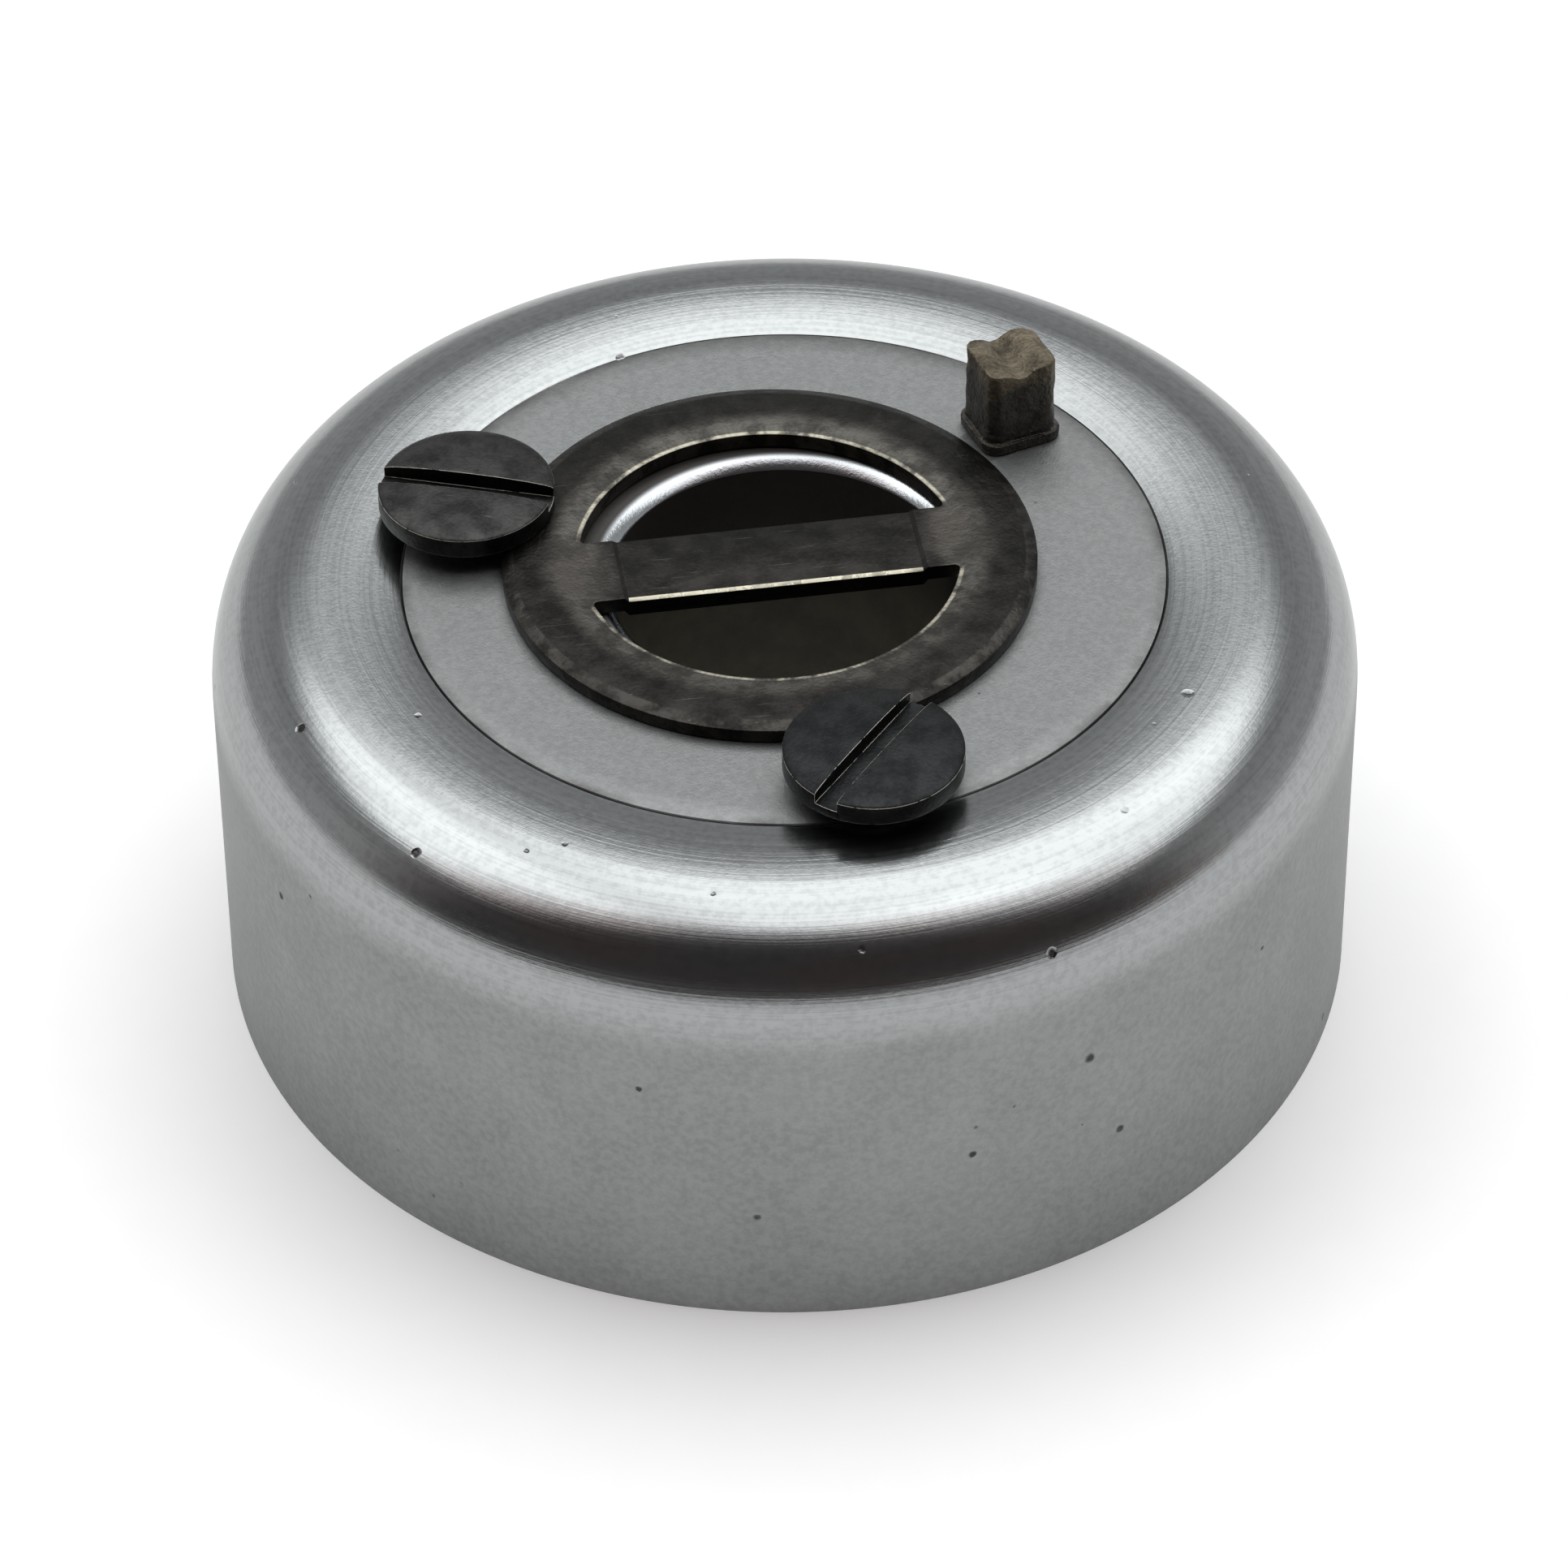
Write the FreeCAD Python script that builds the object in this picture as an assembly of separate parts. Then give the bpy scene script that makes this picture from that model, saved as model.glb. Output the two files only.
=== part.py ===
import FreeCAD, Part
import math
import os

from FreeCAD import Placement, Rotation, Vector

# Bobbin case for a lockstitch machine, millimetres.  It stands on its open rim.
# The origin is the centre of that rim, +Z runs up through the closed end, and the
# tension spring and its screws are on the +Y side of the wall.

# ---- driving dimensions ------------------------------------------------------
CASE_RADIUS = 14.5
CASE_HEIGHT = 11.75
WALL = 1.3
END_THICKNESS = 1.2

SEAM_RADIUS = 9.6          # joint between the cup and the plate let into its end
CROWN_RADIUS = 11.6        # the crown's highest line
CROWN_RISE = 0.13          # how far the end is dished from that line down to the seam
CROWN_DROP = 3.1           # height over which the crown rolls down into the wall
CROWN_POWER = 2.3          # 2 would be an ellipse; more is a fuller shoulder
RIM_BREAK = 0.12
INNER_CORNER = 1.2
SEAM_LIP = 0.8             # how far the end plate reaches under the cup
BORE_RADIUS = 4.4          # hub tube, runs on the hook's centre stud
HUB_WALL = 0.6
COLLAR_WIDTH = 0.4
MOUTH_WIDTH = 0.62
MOUTH_DEPTH = 0.28

DISC_RADIUS = 6.72
DISC_CENTRE = (-0.36, 0.13)  # the disc sits a little off the bore's axis
DISC_TURN = 8.6            # degrees, rest direction of the crossbar
DISC_THICKNESS = 0.48
DISC_BEVEL = (0.34, 0.13)  # how far it reaches in and down
WINDOW_RADIUS = 4.8
WINDOW_CORNER = 0.35
WINDOW_LAND = 0.45         # sloping land round the windows
WINDOW_DISH = 0.08         # how far that land falls
BAR_WIDTH = 2.3
BAR_JOGGLE = 0.12          # how far the bar is set down
BAR_HALF_RUN = 3.6         # half the length that is set down
BAR_RAMP = 0.3

SCREW_HEAD_RADIUS = 2.225
SCREW_CIRCLE = 8.3
SCREW_ANGLES = {"keeper_screw_left": 164.9, "keeper_screw_right": -75.1}
SLOT_ANGLES = {"keeper_screw_left": -11.5, "keeper_screw_right": 57.5}
SCREW_HEAD_SIDE = 0.5
SCREW_DOME = 0.16
SCREW_CORNER = 0.08
SCREW_SHOULDER = 1.1
KEEPER_THREAD = 1.0
SLOT_WIDTH = 0.62
SLOT_DEPTH = 0.42

PEG_CENTRE = (5.82, 5.68)
PEG_SIZE = (1.9, 1.75, 2.45)
PEG_TURN = 24.0
PEG_CORNER = 0.35
PEG_CHAMFER = 0.16
PEG_FOOT = (2.15, 1.95, 0.3)
PEG_RIVET = 0.75
SADDLE_RADIUS = 0.6        # the split over the peg's top
SADDLE_DEPTH = 0.14

BOBBIN_RADIUS = 12.7
BOBBIN_CORE_RADIUS = 6.0
BOBBIN_BOTTOM = 0.5
BOBBIN_TOP = 9.7
FLANGE_THICKNESS = 0.5
SIGHT_HOLES = 6
SIGHT_HOLE_RADIUS = 1.25
SIGHT_HOLE_CIRCLE = 9.5
THREAD_HOLE_RADIUS = 0.5
THREAD_HOLE_CIRCLE = 7.3

LEAF_ANGLES = (62.0, 133.0)      # tip and root of the tension spring round the wall
LEAF_HEIGHTS = (3.6, 7.2)
LEAF_SHOULDER = 96.0             # the leaf is narrower between here and its tip
LEAF_TAPER = 0.55
LEAF_CORNER = 0.25
LEAF_THICKNESS = 0.22
SEAT_DEPTH = 0.6                 # how far the spring's seat is sunk in the wall
SEAT_MARGIN = 0.35
FIXING_ANGLE = 127.0
ADJUSTING_ANGLE = 105.0
SLIT_ANGLE = 84.0
EYE_ANGLE = 58.5
SLIT_WIDTH = 0.7
EYE_RADIUS = 0.595
THREAD_HEIGHT = 5.4              # where the thread passes under the spring
WALL_SCREW_THREAD = 0.8
WALL_SCREWS = {                  # head radius, angle round the wall, turn of the slot
    "tension_fixing_screw": (1.3, FIXING_ANGLE, 20.0),
    "tension_adjusting_screw": (1.6, ADJUSTING_ANGLE, 75.0),
}

BRAKE_THICKNESS = 0.2
BRAKE_RING = 1.5
BRAKE_ARM_WIDTH = 1.1
BRAKE_REACH = 3.6
BRAKE_SWEEP = 95.0
BRAKE_STARTS = (10.0, 130.0, 250.0)

# ---- clearances and small sizes ----------------------------------------------
RUNNING = 0.04             # between the disc and what it turns against
HAIR = 0.02                # between pieces fixed together
BOBBIN_RUNNING = 0.08      # bobbin core round the hub tube
HEAD_SUNK = 0.04           # wall screws' heads below the wall's surface
BRAKE_RUNNING = 0.1        # brake arms above the bobbin
EDGE = 0.05                # broken edge each side of the seam
BEYOND = 1.0               # how far a cutter runs past what it cuts

# ---- derived sizes -----------------------------------------------------------
HUB_RADIUS = BORE_RADIUS + HUB_WALL
CHAMBER_RADIUS = CASE_RADIUS - WALL
COLLAR_RADIUS = HUB_RADIUS + COLLAR_WIDTH
CEILING = CASE_HEIGHT - END_THICKNESS
LEDGE = CASE_HEIGHT - END_THICKNESS / 2
DISC_BOTTOM = CASE_HEIGHT + RUNNING
DISC_TOP = DISC_BOTTOM + DISC_THICKNESS
SPRING_SEAT = CASE_RADIUS - SEAT_DEPTH
LEAF_INNER = SPRING_SEAT + HAIR
LEAF_OUTER = LEAF_INNER + LEAF_THICKNESS

UP = Vector(0, 0, 1)
ORIGIN = Vector(0, 0, 0)


def around_z(shape, degrees):
    """The shape turned about Z."""
    turned = shape.copy()
    turned.rotate(ORIGIN, UP, degrees)
    return turned


def wire_solid(edges):
    """Full turn about Z of a closed outline given as edges in the XZ plane."""
    face = Part.Face(Part.Wire(edges))
    return face.revolve(ORIGIN, UP, 360)


def line(start, end):
    """Straight outline edge between two (radius, height) points."""
    return Part.LineSegment(Vector(start[0], 0, start[1]), Vector(end[0], 0, end[1])).toShape()


def arc(start, middle, end):
    """Round outline edge through three (radius, height) points."""
    points = [Vector(r, 0, z) for r, z in (start, middle, end)]
    return Part.Arc(*points).toShape()


def turned_solid(outline):
    """Full turn about Z of a polygon of (radius, height) points."""
    closed = list(outline) + [outline[0]]
    return wire_solid([line(a, b) for a, b in zip(closed, closed[1:])])


def tube(inner, outer, bottom, top, edge=0.0):
    """Ring of rectangular section, its four edges broken by edge."""
    if edge == 0.0:
        return turned_solid([(inner, bottom), (outer, bottom), (outer, top), (inner, top)])
    return turned_solid([
        (inner + edge, bottom), (outer - edge, bottom), (outer, bottom + edge), (outer, top - edge),
        (outer - edge, top), (inner + edge, top), (inner, top - edge), (inner, bottom + edge),
    ])


def upright_cylinder(radius, bottom, top, x, y):
    """Round bar that stands at (x, y)."""
    return Part.makeCylinder(radius, top - bottom, Vector(x, y, bottom))


def polar(radius, degrees):
    """(x, y) of a point at a radius and angle round Z."""
    a = math.radians(degrees)
    return radius * math.cos(a), radius * math.sin(a)


def sector(inner, outer, bottom, top, first, last):
    """Part of a tube between two angles round Z."""
    section = Part.Face(Part.makePolygon([
        Vector(inner, 0, bottom), Vector(outer, 0, bottom), Vector(outer, 0, top),
        Vector(inner, 0, top), Vector(inner, 0, bottom),
    ]))
    return around_z(section.revolve(ORIGIN, UP, last - first), first)


def radial_cylinder(radius, inner, outer, degrees, height):
    """Round bar that points out of the wall at an angle and height."""
    x, y = polar(inner, degrees)
    dx, dy = polar(1.0, degrees)
    return Part.makeCylinder(radius, outer - inner, Vector(x, y, height), Vector(dx, dy, 0))


def tidy(shape):
    """One clean solid from a boolean's result."""
    return shape.removeSplitter().Solids[0]


# ---- case shell --------------------------------------------------------------
def crown_edge():
    """Outline of the crown: dished inside its highest line, a superellipse outside it."""
    start = SEAM_RADIUS + EDGE
    peak = CASE_HEIGHT + CROWN_RISE
    foot = peak - CROWN_DROP
    width = CASE_RADIUS - CROWN_RADIUS
    dish_steps = 5
    roll_steps = 14
    points = []
    for i in range(dish_steps):
        left = 1 - i / dish_steps
        points.append(Vector(CROWN_RADIUS - (CROWN_RADIUS - start) * left, 0, peak - CROWN_RISE * left ** 2))
    for i in range(roll_steps + 1):
        a = math.pi / 2 * (1 - i / roll_steps)
        reach = (math.cos(a) / width) ** CROWN_POWER + (math.sin(a) / CROWN_DROP) ** CROWN_POWER
        reach = reach ** (-1 / CROWN_POWER)
        points.append(Vector(CROWN_RADIUS + reach * math.cos(a), 0, foot + reach * math.sin(a)))
    curve = Part.BSplineCurve()
    climb = 2 * CROWN_RISE / (CROWN_RADIUS - start)
    curve.interpolate(Points=points, InitialTangent=Vector(1, 0, climb), FinalTangent=Vector(0, 0, -1))
    return curve.toShape(), points[0], points[-1]


def cup():
    """Drawn cup: plain wall, rolled crown and a stepped seat for the end plate."""
    edge, first, last = crown_edge()
    lip = SEAM_RADIUS + SEAM_LIP
    slant = INNER_CORNER * math.sqrt(0.5)
    hub = (CHAMBER_RADIUS - INNER_CORNER, CEILING - INNER_CORNER)
    outline = [
        edge,
        line((last.x, last.z), (CASE_RADIUS, RIM_BREAK)),
        line((CASE_RADIUS, RIM_BREAK), (CASE_RADIUS - RIM_BREAK, 0)),
        line((CASE_RADIUS - RIM_BREAK, 0), (CHAMBER_RADIUS + RIM_BREAK, 0)),
        line((CHAMBER_RADIUS + RIM_BREAK, 0), (CHAMBER_RADIUS, RIM_BREAK)),
        line((CHAMBER_RADIUS, RIM_BREAK), (CHAMBER_RADIUS, hub[1])),
        arc((CHAMBER_RADIUS, hub[1]), (hub[0] + slant, hub[1] + slant), (hub[0], CEILING)),
        line((hub[0], CEILING), (lip, CEILING)),
        line((lip, CEILING), (lip, LEDGE)),
        line((lip, LEDGE), (SEAM_RADIUS, LEDGE)),
        line((SEAM_RADIUS, LEDGE), (SEAM_RADIUS, CASE_HEIGHT - EDGE)),
        line((SEAM_RADIUS, CASE_HEIGHT - EDGE), (first.x, first.z)),
    ]
    return wire_solid(outline)


def case_shell():
    """The cup with the spring's seat, the thread slit, its eye and two tapped holes."""
    inside = CHAMBER_RADIUS - BEYOND
    outside = CASE_RADIUS + BEYOND
    seat_ends = (EYE_ANGLE - 5.0, LEAF_ANGLES[1] + 2.0)
    seat = sector(SPRING_SEAT, outside, LEAF_HEIGHTS[0] - SEAT_MARGIN, LEAF_HEIGHTS[1] + SEAT_MARGIN,
                  *seat_ends)
    half_turn = math.degrees(SLIT_WIDTH / 2 / CASE_RADIUS)
    low = THREAD_HEIGHT - SLIT_WIDTH / 2
    high = THREAD_HEIGHT + SLIT_WIDTH / 2
    upright = sector(inside, outside, -BEYOND, high, SLIT_ANGLE - half_turn, SLIT_ANGLE + half_turn)
    level = sector(inside, outside, low, high, EYE_ANGLE, SLIT_ANGLE)
    eye = radial_cylinder(EYE_RADIUS, inside, outside, EYE_ANGLE, THREAD_HEIGHT)
    holes = [radial_cylinder(WALL_SCREW_THREAD, inside, outside, angle, THREAD_HEIGHT)
             for _, angle, _ in WALL_SCREWS.values()]
    return tidy(cup().cut([seat, upright, level, eye] + holes))


# ---- end plate and hub tube --------------------------------------------------
def hub_plate():
    """Flat plate let into the end of the cup, with the tapped holes for the keepers."""
    ledge = LEDGE - HAIR
    rim = SEAM_RADIUS + SEAM_LIP - HAIR
    radius = SEAM_RADIUS - HAIR
    hole = COLLAR_RADIUS + HAIR
    outline = [
        (hole, CEILING), (rim, CEILING), (rim, ledge), (radius, ledge),
        (radius, CASE_HEIGHT - EDGE), (radius - EDGE, CASE_HEIGHT), (hole, CASE_HEIGHT),
    ]
    plate = turned_solid(outline)
    low = CEILING - BEYOND
    high = CASE_HEIGHT + BEYOND
    drills = [upright_cylinder(KEEPER_THREAD, low, high, *polar(SCREW_CIRCLE, angle))
              for angle in SCREW_ANGLES.values()]
    drills.append(upright_cylinder(PEG_RIVET, low, high, *PEG_CENTRE))
    return tidy(plate.cut(drills))


def hub_tube():
    """Centre tube with a collar in the plate and a wide polished mouth."""
    top = CASE_HEIGHT - HAIR
    foot_break = 0.2
    corners = [
        (BORE_RADIUS, top - MOUTH_DEPTH), (BORE_RADIUS, BOBBIN_BOTTOM + foot_break),
        (BORE_RADIUS + foot_break, BOBBIN_BOTTOM), (HUB_RADIUS - foot_break, BOBBIN_BOTTOM),
        (HUB_RADIUS, BOBBIN_BOTTOM + foot_break), (HUB_RADIUS, CEILING), (COLLAR_RADIUS, CEILING),
        (COLLAR_RADIUS, top), (BORE_RADIUS + MOUTH_WIDTH, top),
    ]
    lip_radius = (MOUTH_WIDTH ** 2 + MOUTH_DEPTH ** 2) / (2 * MOUTH_DEPTH)
    half = math.asin(MOUTH_WIDTH / lip_radius) / 2
    middle = (BORE_RADIUS + MOUTH_WIDTH - lip_radius * math.sin(half), top - lip_radius * (1 - math.cos(half)))
    edges = [line(a, b) for a, b in zip(corners, corners[1:])]
    edges.append(arc(corners[-1], middle, corners[0]))
    return wire_solid(edges)


# ---- retaining disc ----------------------------------------------------------
def window(side):
    """Half-moon prism with rounded corners, on one side of the crossbar."""
    chord = BAR_WIDTH / 2
    end = math.sqrt(WINDOW_RADIUS ** 2 - chord ** 2)
    bottom = DISC_BOTTOM - BEYOND
    height = DISC_THICKNESS + 2 * BEYOND
    outline = Part.Wire([
        Part.LineSegment(Vector(-end, chord, bottom), Vector(end, chord, bottom)).toShape(),
        Part.Arc(Vector(end, chord, bottom), Vector(0, WINDOW_RADIUS, bottom),
                 Vector(-end, chord, bottom)).toShape(),
    ])
    prism = Part.Face(outline).extrude(Vector(0, 0, height))
    corners = [e for e in prism.Edges
               if abs(e.BoundBox.ZLength - height) < HAIR and abs(abs(e.BoundBox.XMin) - end) < HAIR]
    prism = prism.makeFillet(WINDOW_CORNER, corners)
    return around_z(prism, 0 if side > 0 else 180)


def bar_prism(middle, thickness):
    """The crossbar's joggled side view, flat in the middle with a short ramp at each end."""
    ramp = BAR_HALF_RUN + BAR_RAMP
    rise = middle + BAR_JOGGLE
    start = -BAR_WIDTH / 2
    ends = [Vector(-ramp, start, rise), Vector(-BAR_HALF_RUN, start, middle),
            Vector(BAR_HALF_RUN, start, middle), Vector(ramp, start, rise)]
    above = [p + Vector(0, 0, thickness) for p in reversed(ends)]
    return Part.Face(Part.makePolygon(ends + above + [ends[0]])).extrude(Vector(0, BAR_WIDTH, 0))


def retaining_disc():
    """Round plate under the keepers' heads: two windows and a joggled crossbar between them."""
    land = WINDOW_RADIUS + WINDOW_LAND
    outline = [
        (0, DISC_BOTTOM), (DISC_RADIUS - EDGE, DISC_BOTTOM), (DISC_RADIUS, DISC_BOTTOM + EDGE),
        (DISC_RADIUS, DISC_TOP - DISC_BEVEL[1]), (DISC_RADIUS - DISC_BEVEL[0], DISC_TOP), (land, DISC_TOP),
        (WINDOW_RADIUS, DISC_TOP - WINDOW_DISH), (0, DISC_TOP - WINDOW_DISH),
    ]
    set_down = DISC_TOP - BAR_JOGGLE
    hollow = bar_prism(set_down, BEYOND)
    lower = Part.makeBox(2 * BAR_HALF_RUN, BAR_WIDTH, DISC_THICKNESS,
                         Vector(-BAR_HALF_RUN, -BAR_WIDTH / 2, set_down - DISC_THICKNESS))
    solid = tidy(turned_solid(outline).cut([window(1), window(-1), hollow]).fuse(lower))
    solid = around_z(solid, DISC_TURN)
    solid.translate(Vector(DISC_CENTRE[0], DISC_CENTRE[1], 0))
    return solid


# ---- keeper screws and locating peg ------------------------------------------
def keeper_screw(name):
    """Slotted screw with a low domed head over a short shoulder that clears the disc."""
    head_bottom = DISC_TOP + RUNNING
    head_edge = head_bottom + SCREW_HEAD_SIDE
    crest = head_edge + SCREW_DOME
    corner = SCREW_HEAD_RADIUS - SCREW_CORNER
    middle = (SCREW_HEAD_RADIUS / 2, head_edge + SCREW_DOME * 0.75)
    corners = [
        (0, crest), (0, CEILING), (KEEPER_THREAD - EDGE, CEILING), (KEEPER_THREAD, CEILING + EDGE),
        (KEEPER_THREAD, CASE_HEIGHT), (SCREW_SHOULDER, CASE_HEIGHT), (SCREW_SHOULDER, head_bottom),
        (corner, head_bottom), (SCREW_HEAD_RADIUS, head_bottom + SCREW_CORNER),
        (SCREW_HEAD_RADIUS, head_edge),
    ]
    edges = [line(a, b) for a, b in zip(corners, corners[1:])]
    edges.append(arc(corners[-1], middle, corners[0]))
    slot = Part.makeBox(4 * SCREW_HEAD_RADIUS, SLOT_WIDTH, BEYOND,
                        Vector(-2 * SCREW_HEAD_RADIUS, -SLOT_WIDTH / 2, crest - SLOT_DEPTH))
    screw = tidy(wire_solid(edges).cut(slot))
    screw = around_z(screw, SLOT_ANGLES[name])
    x, y = polar(SCREW_CIRCLE, SCREW_ANGLES[name])
    screw.translate(Vector(x, y, 0))
    return screw


def rounded_block(length, width, bottom, top, corner):
    """Upright block, centred on Z, with rounded vertical corners."""
    block = Part.makeBox(length, width, top - bottom, Vector(-length / 2, -width / 2, bottom))
    uprights = [e for e in block.Edges if abs(e.BoundBox.ZLength - (top - bottom)) < 1e-6]
    return block.makeFillet(corner, uprights)


def locating_peg():
    """Square lug riveted through the plate, on a slightly wider foot, split over its top."""
    length, width, height = PEG_SIZE
    foot_length, foot_width, foot_height = PEG_FOOT
    top = CASE_HEIGHT + height
    body = rounded_block(length, width, CASE_HEIGHT, top, PEG_CORNER)
    rim = [e for e in body.Edges if e.BoundBox.ZLength < EDGE and e.BoundBox.ZMin > top - EDGE]
    body = body.makeChamfer(PEG_CHAMFER, rim)
    foot = rounded_block(foot_length, foot_width, CASE_HEIGHT, CASE_HEIGHT + foot_height, PEG_CORNER)
    rivet = upright_cylinder(PEG_RIVET, CEILING, CASE_HEIGHT, 0, 0)
    saddle = Part.makeCylinder(SADDLE_RADIUS, 2 * width,
                               Vector(0, -width, top + SADDLE_RADIUS - SADDLE_DEPTH), Vector(0, 1, 0))
    peg = tidy(body.fuse([foot, rivet]).cut(saddle))
    peg = around_z(peg, PEG_TURN)
    peg.translate(Vector(PEG_CENTRE[0], PEG_CENTRE[1], 0))
    return peg


# ---- thread tension spring and its screws ------------------------------------
def tension_spring():
    """Curved leaf that presses the thread on the wall, narrower towards its free tip."""
    tip, root = LEAF_ANGLES
    low, high = LEAF_HEIGHTS
    wide = sector(LEAF_INNER, LEAF_OUTER, low, high, LEAF_SHOULDER, root)
    narrow = sector(LEAF_INNER, LEAF_OUTER, low + LEAF_TAPER, high - LEAF_TAPER, tip, LEAF_SHOULDER + 1)
    holes = [radial_cylinder(WALL_SCREW_THREAD + 0.1, CHAMBER_RADIUS, CASE_RADIUS + BEYOND, angle,
                             THREAD_HEIGHT)
             for _, angle, _ in WALL_SCREWS.values()]
    leaf = tidy(wide.fuse(narrow))
    corners = [e for e in leaf.Edges if e.Curve.TypeId == "Part::GeomLine" and e.BoundBox.ZLength < HAIR]
    return tidy(leaf.makeFillet(LEAF_CORNER, corners).cut(holes))


def wall_screw(name):
    """Slotted screw that points out of the wall, its head sunk just inside the wall's radius."""
    head_radius, degrees, slot_turn = WALL_SCREWS[name]
    head_outer = CASE_RADIUS - HEAD_SUNK - CHAMBER_RADIUS
    head_inner = LEAF_OUTER + HAIR - CHAMBER_RADIUS
    shank = Part.makeCylinder(WALL_SCREW_THREAD - HAIR, head_inner + EDGE)
    head = Part.makeCylinder(head_radius, head_outer - head_inner, Vector(0, 0, head_inner))
    rim = [e for e in head.Edges if abs(e.BoundBox.ZMin - head_outer) < HAIR and e.BoundBox.ZLength < HAIR]
    head = head.makeChamfer(SCREW_CORNER, rim)
    slot_width = 0.35
    slot_depth = 0.2
    slot = Part.makeBox(3 * head_radius, slot_width, BEYOND,
                        Vector(-1.5 * head_radius, -slot_width / 2, head_outer - slot_depth))
    screw = tidy(around_z(shank.fuse(head).cut(slot), slot_turn))
    lie_down = Placement(Vector(CHAMBER_RADIUS, 0, THREAD_HEIGHT), Rotation(Vector(0, 1, 0), 90))
    screw.Placement = lie_down.multiply(screw.Placement)
    return around_z(screw, degrees)


# ---- inside the chamber ------------------------------------------------------
def brake_arm(start):
    """One springy arm: it sweeps outwards from the ring and falls towards the bobbin."""
    top = CEILING - HAIR
    fall = top - BRAKE_THICKNESS - BOBBIN_TOP - BRAKE_RUNNING
    steps = 6
    sections = []
    for i in range(steps + 1):
        along = i / steps
        inner = HUB_RADIUS + BRAKE_RING / 4 + BRAKE_REACH * along
        outer = inner + BRAKE_ARM_WIDTH
        high = top - fall * along ** 2
        low = high - BRAKE_THICKNESS
        wire = Part.makePolygon([Vector(inner, 0, high), Vector(outer, 0, high), Vector(outer, 0, low),
                                 Vector(inner, 0, low), Vector(inner, 0, high)])
        wire.rotate(ORIGIN, UP, start + BRAKE_SWEEP * along)
        sections.append(wire)
    return Part.makeLoft(sections, True, False)


def brake_spring():
    """Thin ring round the hub tube with three springy arms that lean on the bobbin."""
    top = CEILING - HAIR
    ring = tube(HUB_RADIUS + HAIR, HUB_RADIUS + BRAKE_RING, top - BRAKE_THICKNESS, top)
    return tidy(ring.fuse([brake_arm(start) for start in BRAKE_STARTS]))


def bobbin_core():
    """Turned sleeve of the bobbin, running on the hub tube."""
    return tube(HUB_RADIUS + BOBBIN_RUNNING, BOBBIN_CORE_RADIUS, BOBBIN_BOTTOM, BOBBIN_TOP, EDGE)


def bobbin_flange(bottom):
    """Round side of the bobbin with its sight holes and one small thread hole."""
    flange = tube(BOBBIN_CORE_RADIUS + HAIR / 2, BOBBIN_RADIUS, bottom, bottom + FLANGE_THICKNESS, RIM_BREAK)
    low = bottom - BEYOND
    high = bottom + BEYOND
    spacing = 360 / SIGHT_HOLES
    drills = [upright_cylinder(SIGHT_HOLE_RADIUS, low, high, *polar(SIGHT_HOLE_CIRCLE, spacing * i))
              for i in range(SIGHT_HOLES)]
    drills.append(upright_cylinder(THREAD_HOLE_RADIUS, low, high, *polar(THREAD_HOLE_CIRCLE, spacing / 2)))
    return tidy(flange.cut(drills))


def main():
    """Makes every part and writes one file for each."""
    os.makedirs("parts", exist_ok=True)
    parts = {
        "case_shell": case_shell(),
        "hub_plate": hub_plate(),
        "hub_tube": hub_tube(),
        "retaining_disc": retaining_disc(),
        "locating_peg": locating_peg(),
        "tension_spring": tension_spring(),
        "brake_spring": brake_spring(),
        "bobbin_core": bobbin_core(),
        "bobbin_lower_flange": bobbin_flange(BOBBIN_BOTTOM),
        "bobbin_upper_flange": bobbin_flange(BOBBIN_TOP - FLANGE_THICKNESS),
    }
    parts.update({name: keeper_screw(name) for name in SCREW_ANGLES})
    parts.update({name: wall_screw(name) for name in WALL_SCREWS})
    for name, shape in parts.items():
        assert shape.isValid() and len(shape.Solids) == 1, name
        shape.exportStep("parts/" + name + ".step")
        box = shape.BoundBox
        print(name, round(shape.Volume, 2), [round(v, 2) for v in (
            box.XMin, box.XMax, box.YMin, box.YMax, box.ZMin, box.ZMax)])


main()
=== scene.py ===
"""Looks of the bobbin case: turned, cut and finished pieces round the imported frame."""

import logging
import math
from dataclasses import dataclass, field
from enum import Enum
from typing import Callable, Iterable, Sequence

import bmesh
import bpy
from mathutils import Euler, Matrix, Vector, noise


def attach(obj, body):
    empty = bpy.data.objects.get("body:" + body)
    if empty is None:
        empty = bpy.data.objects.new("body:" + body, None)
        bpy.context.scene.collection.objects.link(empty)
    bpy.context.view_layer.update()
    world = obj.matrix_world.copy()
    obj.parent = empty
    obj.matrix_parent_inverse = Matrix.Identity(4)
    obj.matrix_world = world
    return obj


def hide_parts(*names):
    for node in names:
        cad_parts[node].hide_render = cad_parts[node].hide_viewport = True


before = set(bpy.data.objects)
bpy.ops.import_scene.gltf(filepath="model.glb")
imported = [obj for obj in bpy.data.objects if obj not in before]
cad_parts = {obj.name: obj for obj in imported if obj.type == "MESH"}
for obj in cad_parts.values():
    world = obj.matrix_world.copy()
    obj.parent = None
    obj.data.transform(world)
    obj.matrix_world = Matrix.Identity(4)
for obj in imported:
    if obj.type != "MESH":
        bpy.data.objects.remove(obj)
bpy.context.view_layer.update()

LOG = logging.getLogger("bobbin_case")
MM = 0.001
Point = tuple[float, float]
Colour = tuple[float, float, float]
TURN_STEPS = 240
MERGE_WITHIN = 1e-4
SMOOTH_BELOW = 35


# ---- the bench: pieces are shaped in millimetres ------------------------------
class Joining(Enum):
    """How a tool changes a piece."""

    CUT_AWAY = "DIFFERENCE"
    WELD = "UNION"


def polar(radius: float, degrees: float) -> Point:
    """Gives the (x, y) of a point at a radius and an angle round the case's axis."""
    turn = math.radians(degrees)
    return radius * math.cos(turn), radius * math.sin(turn)


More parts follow.
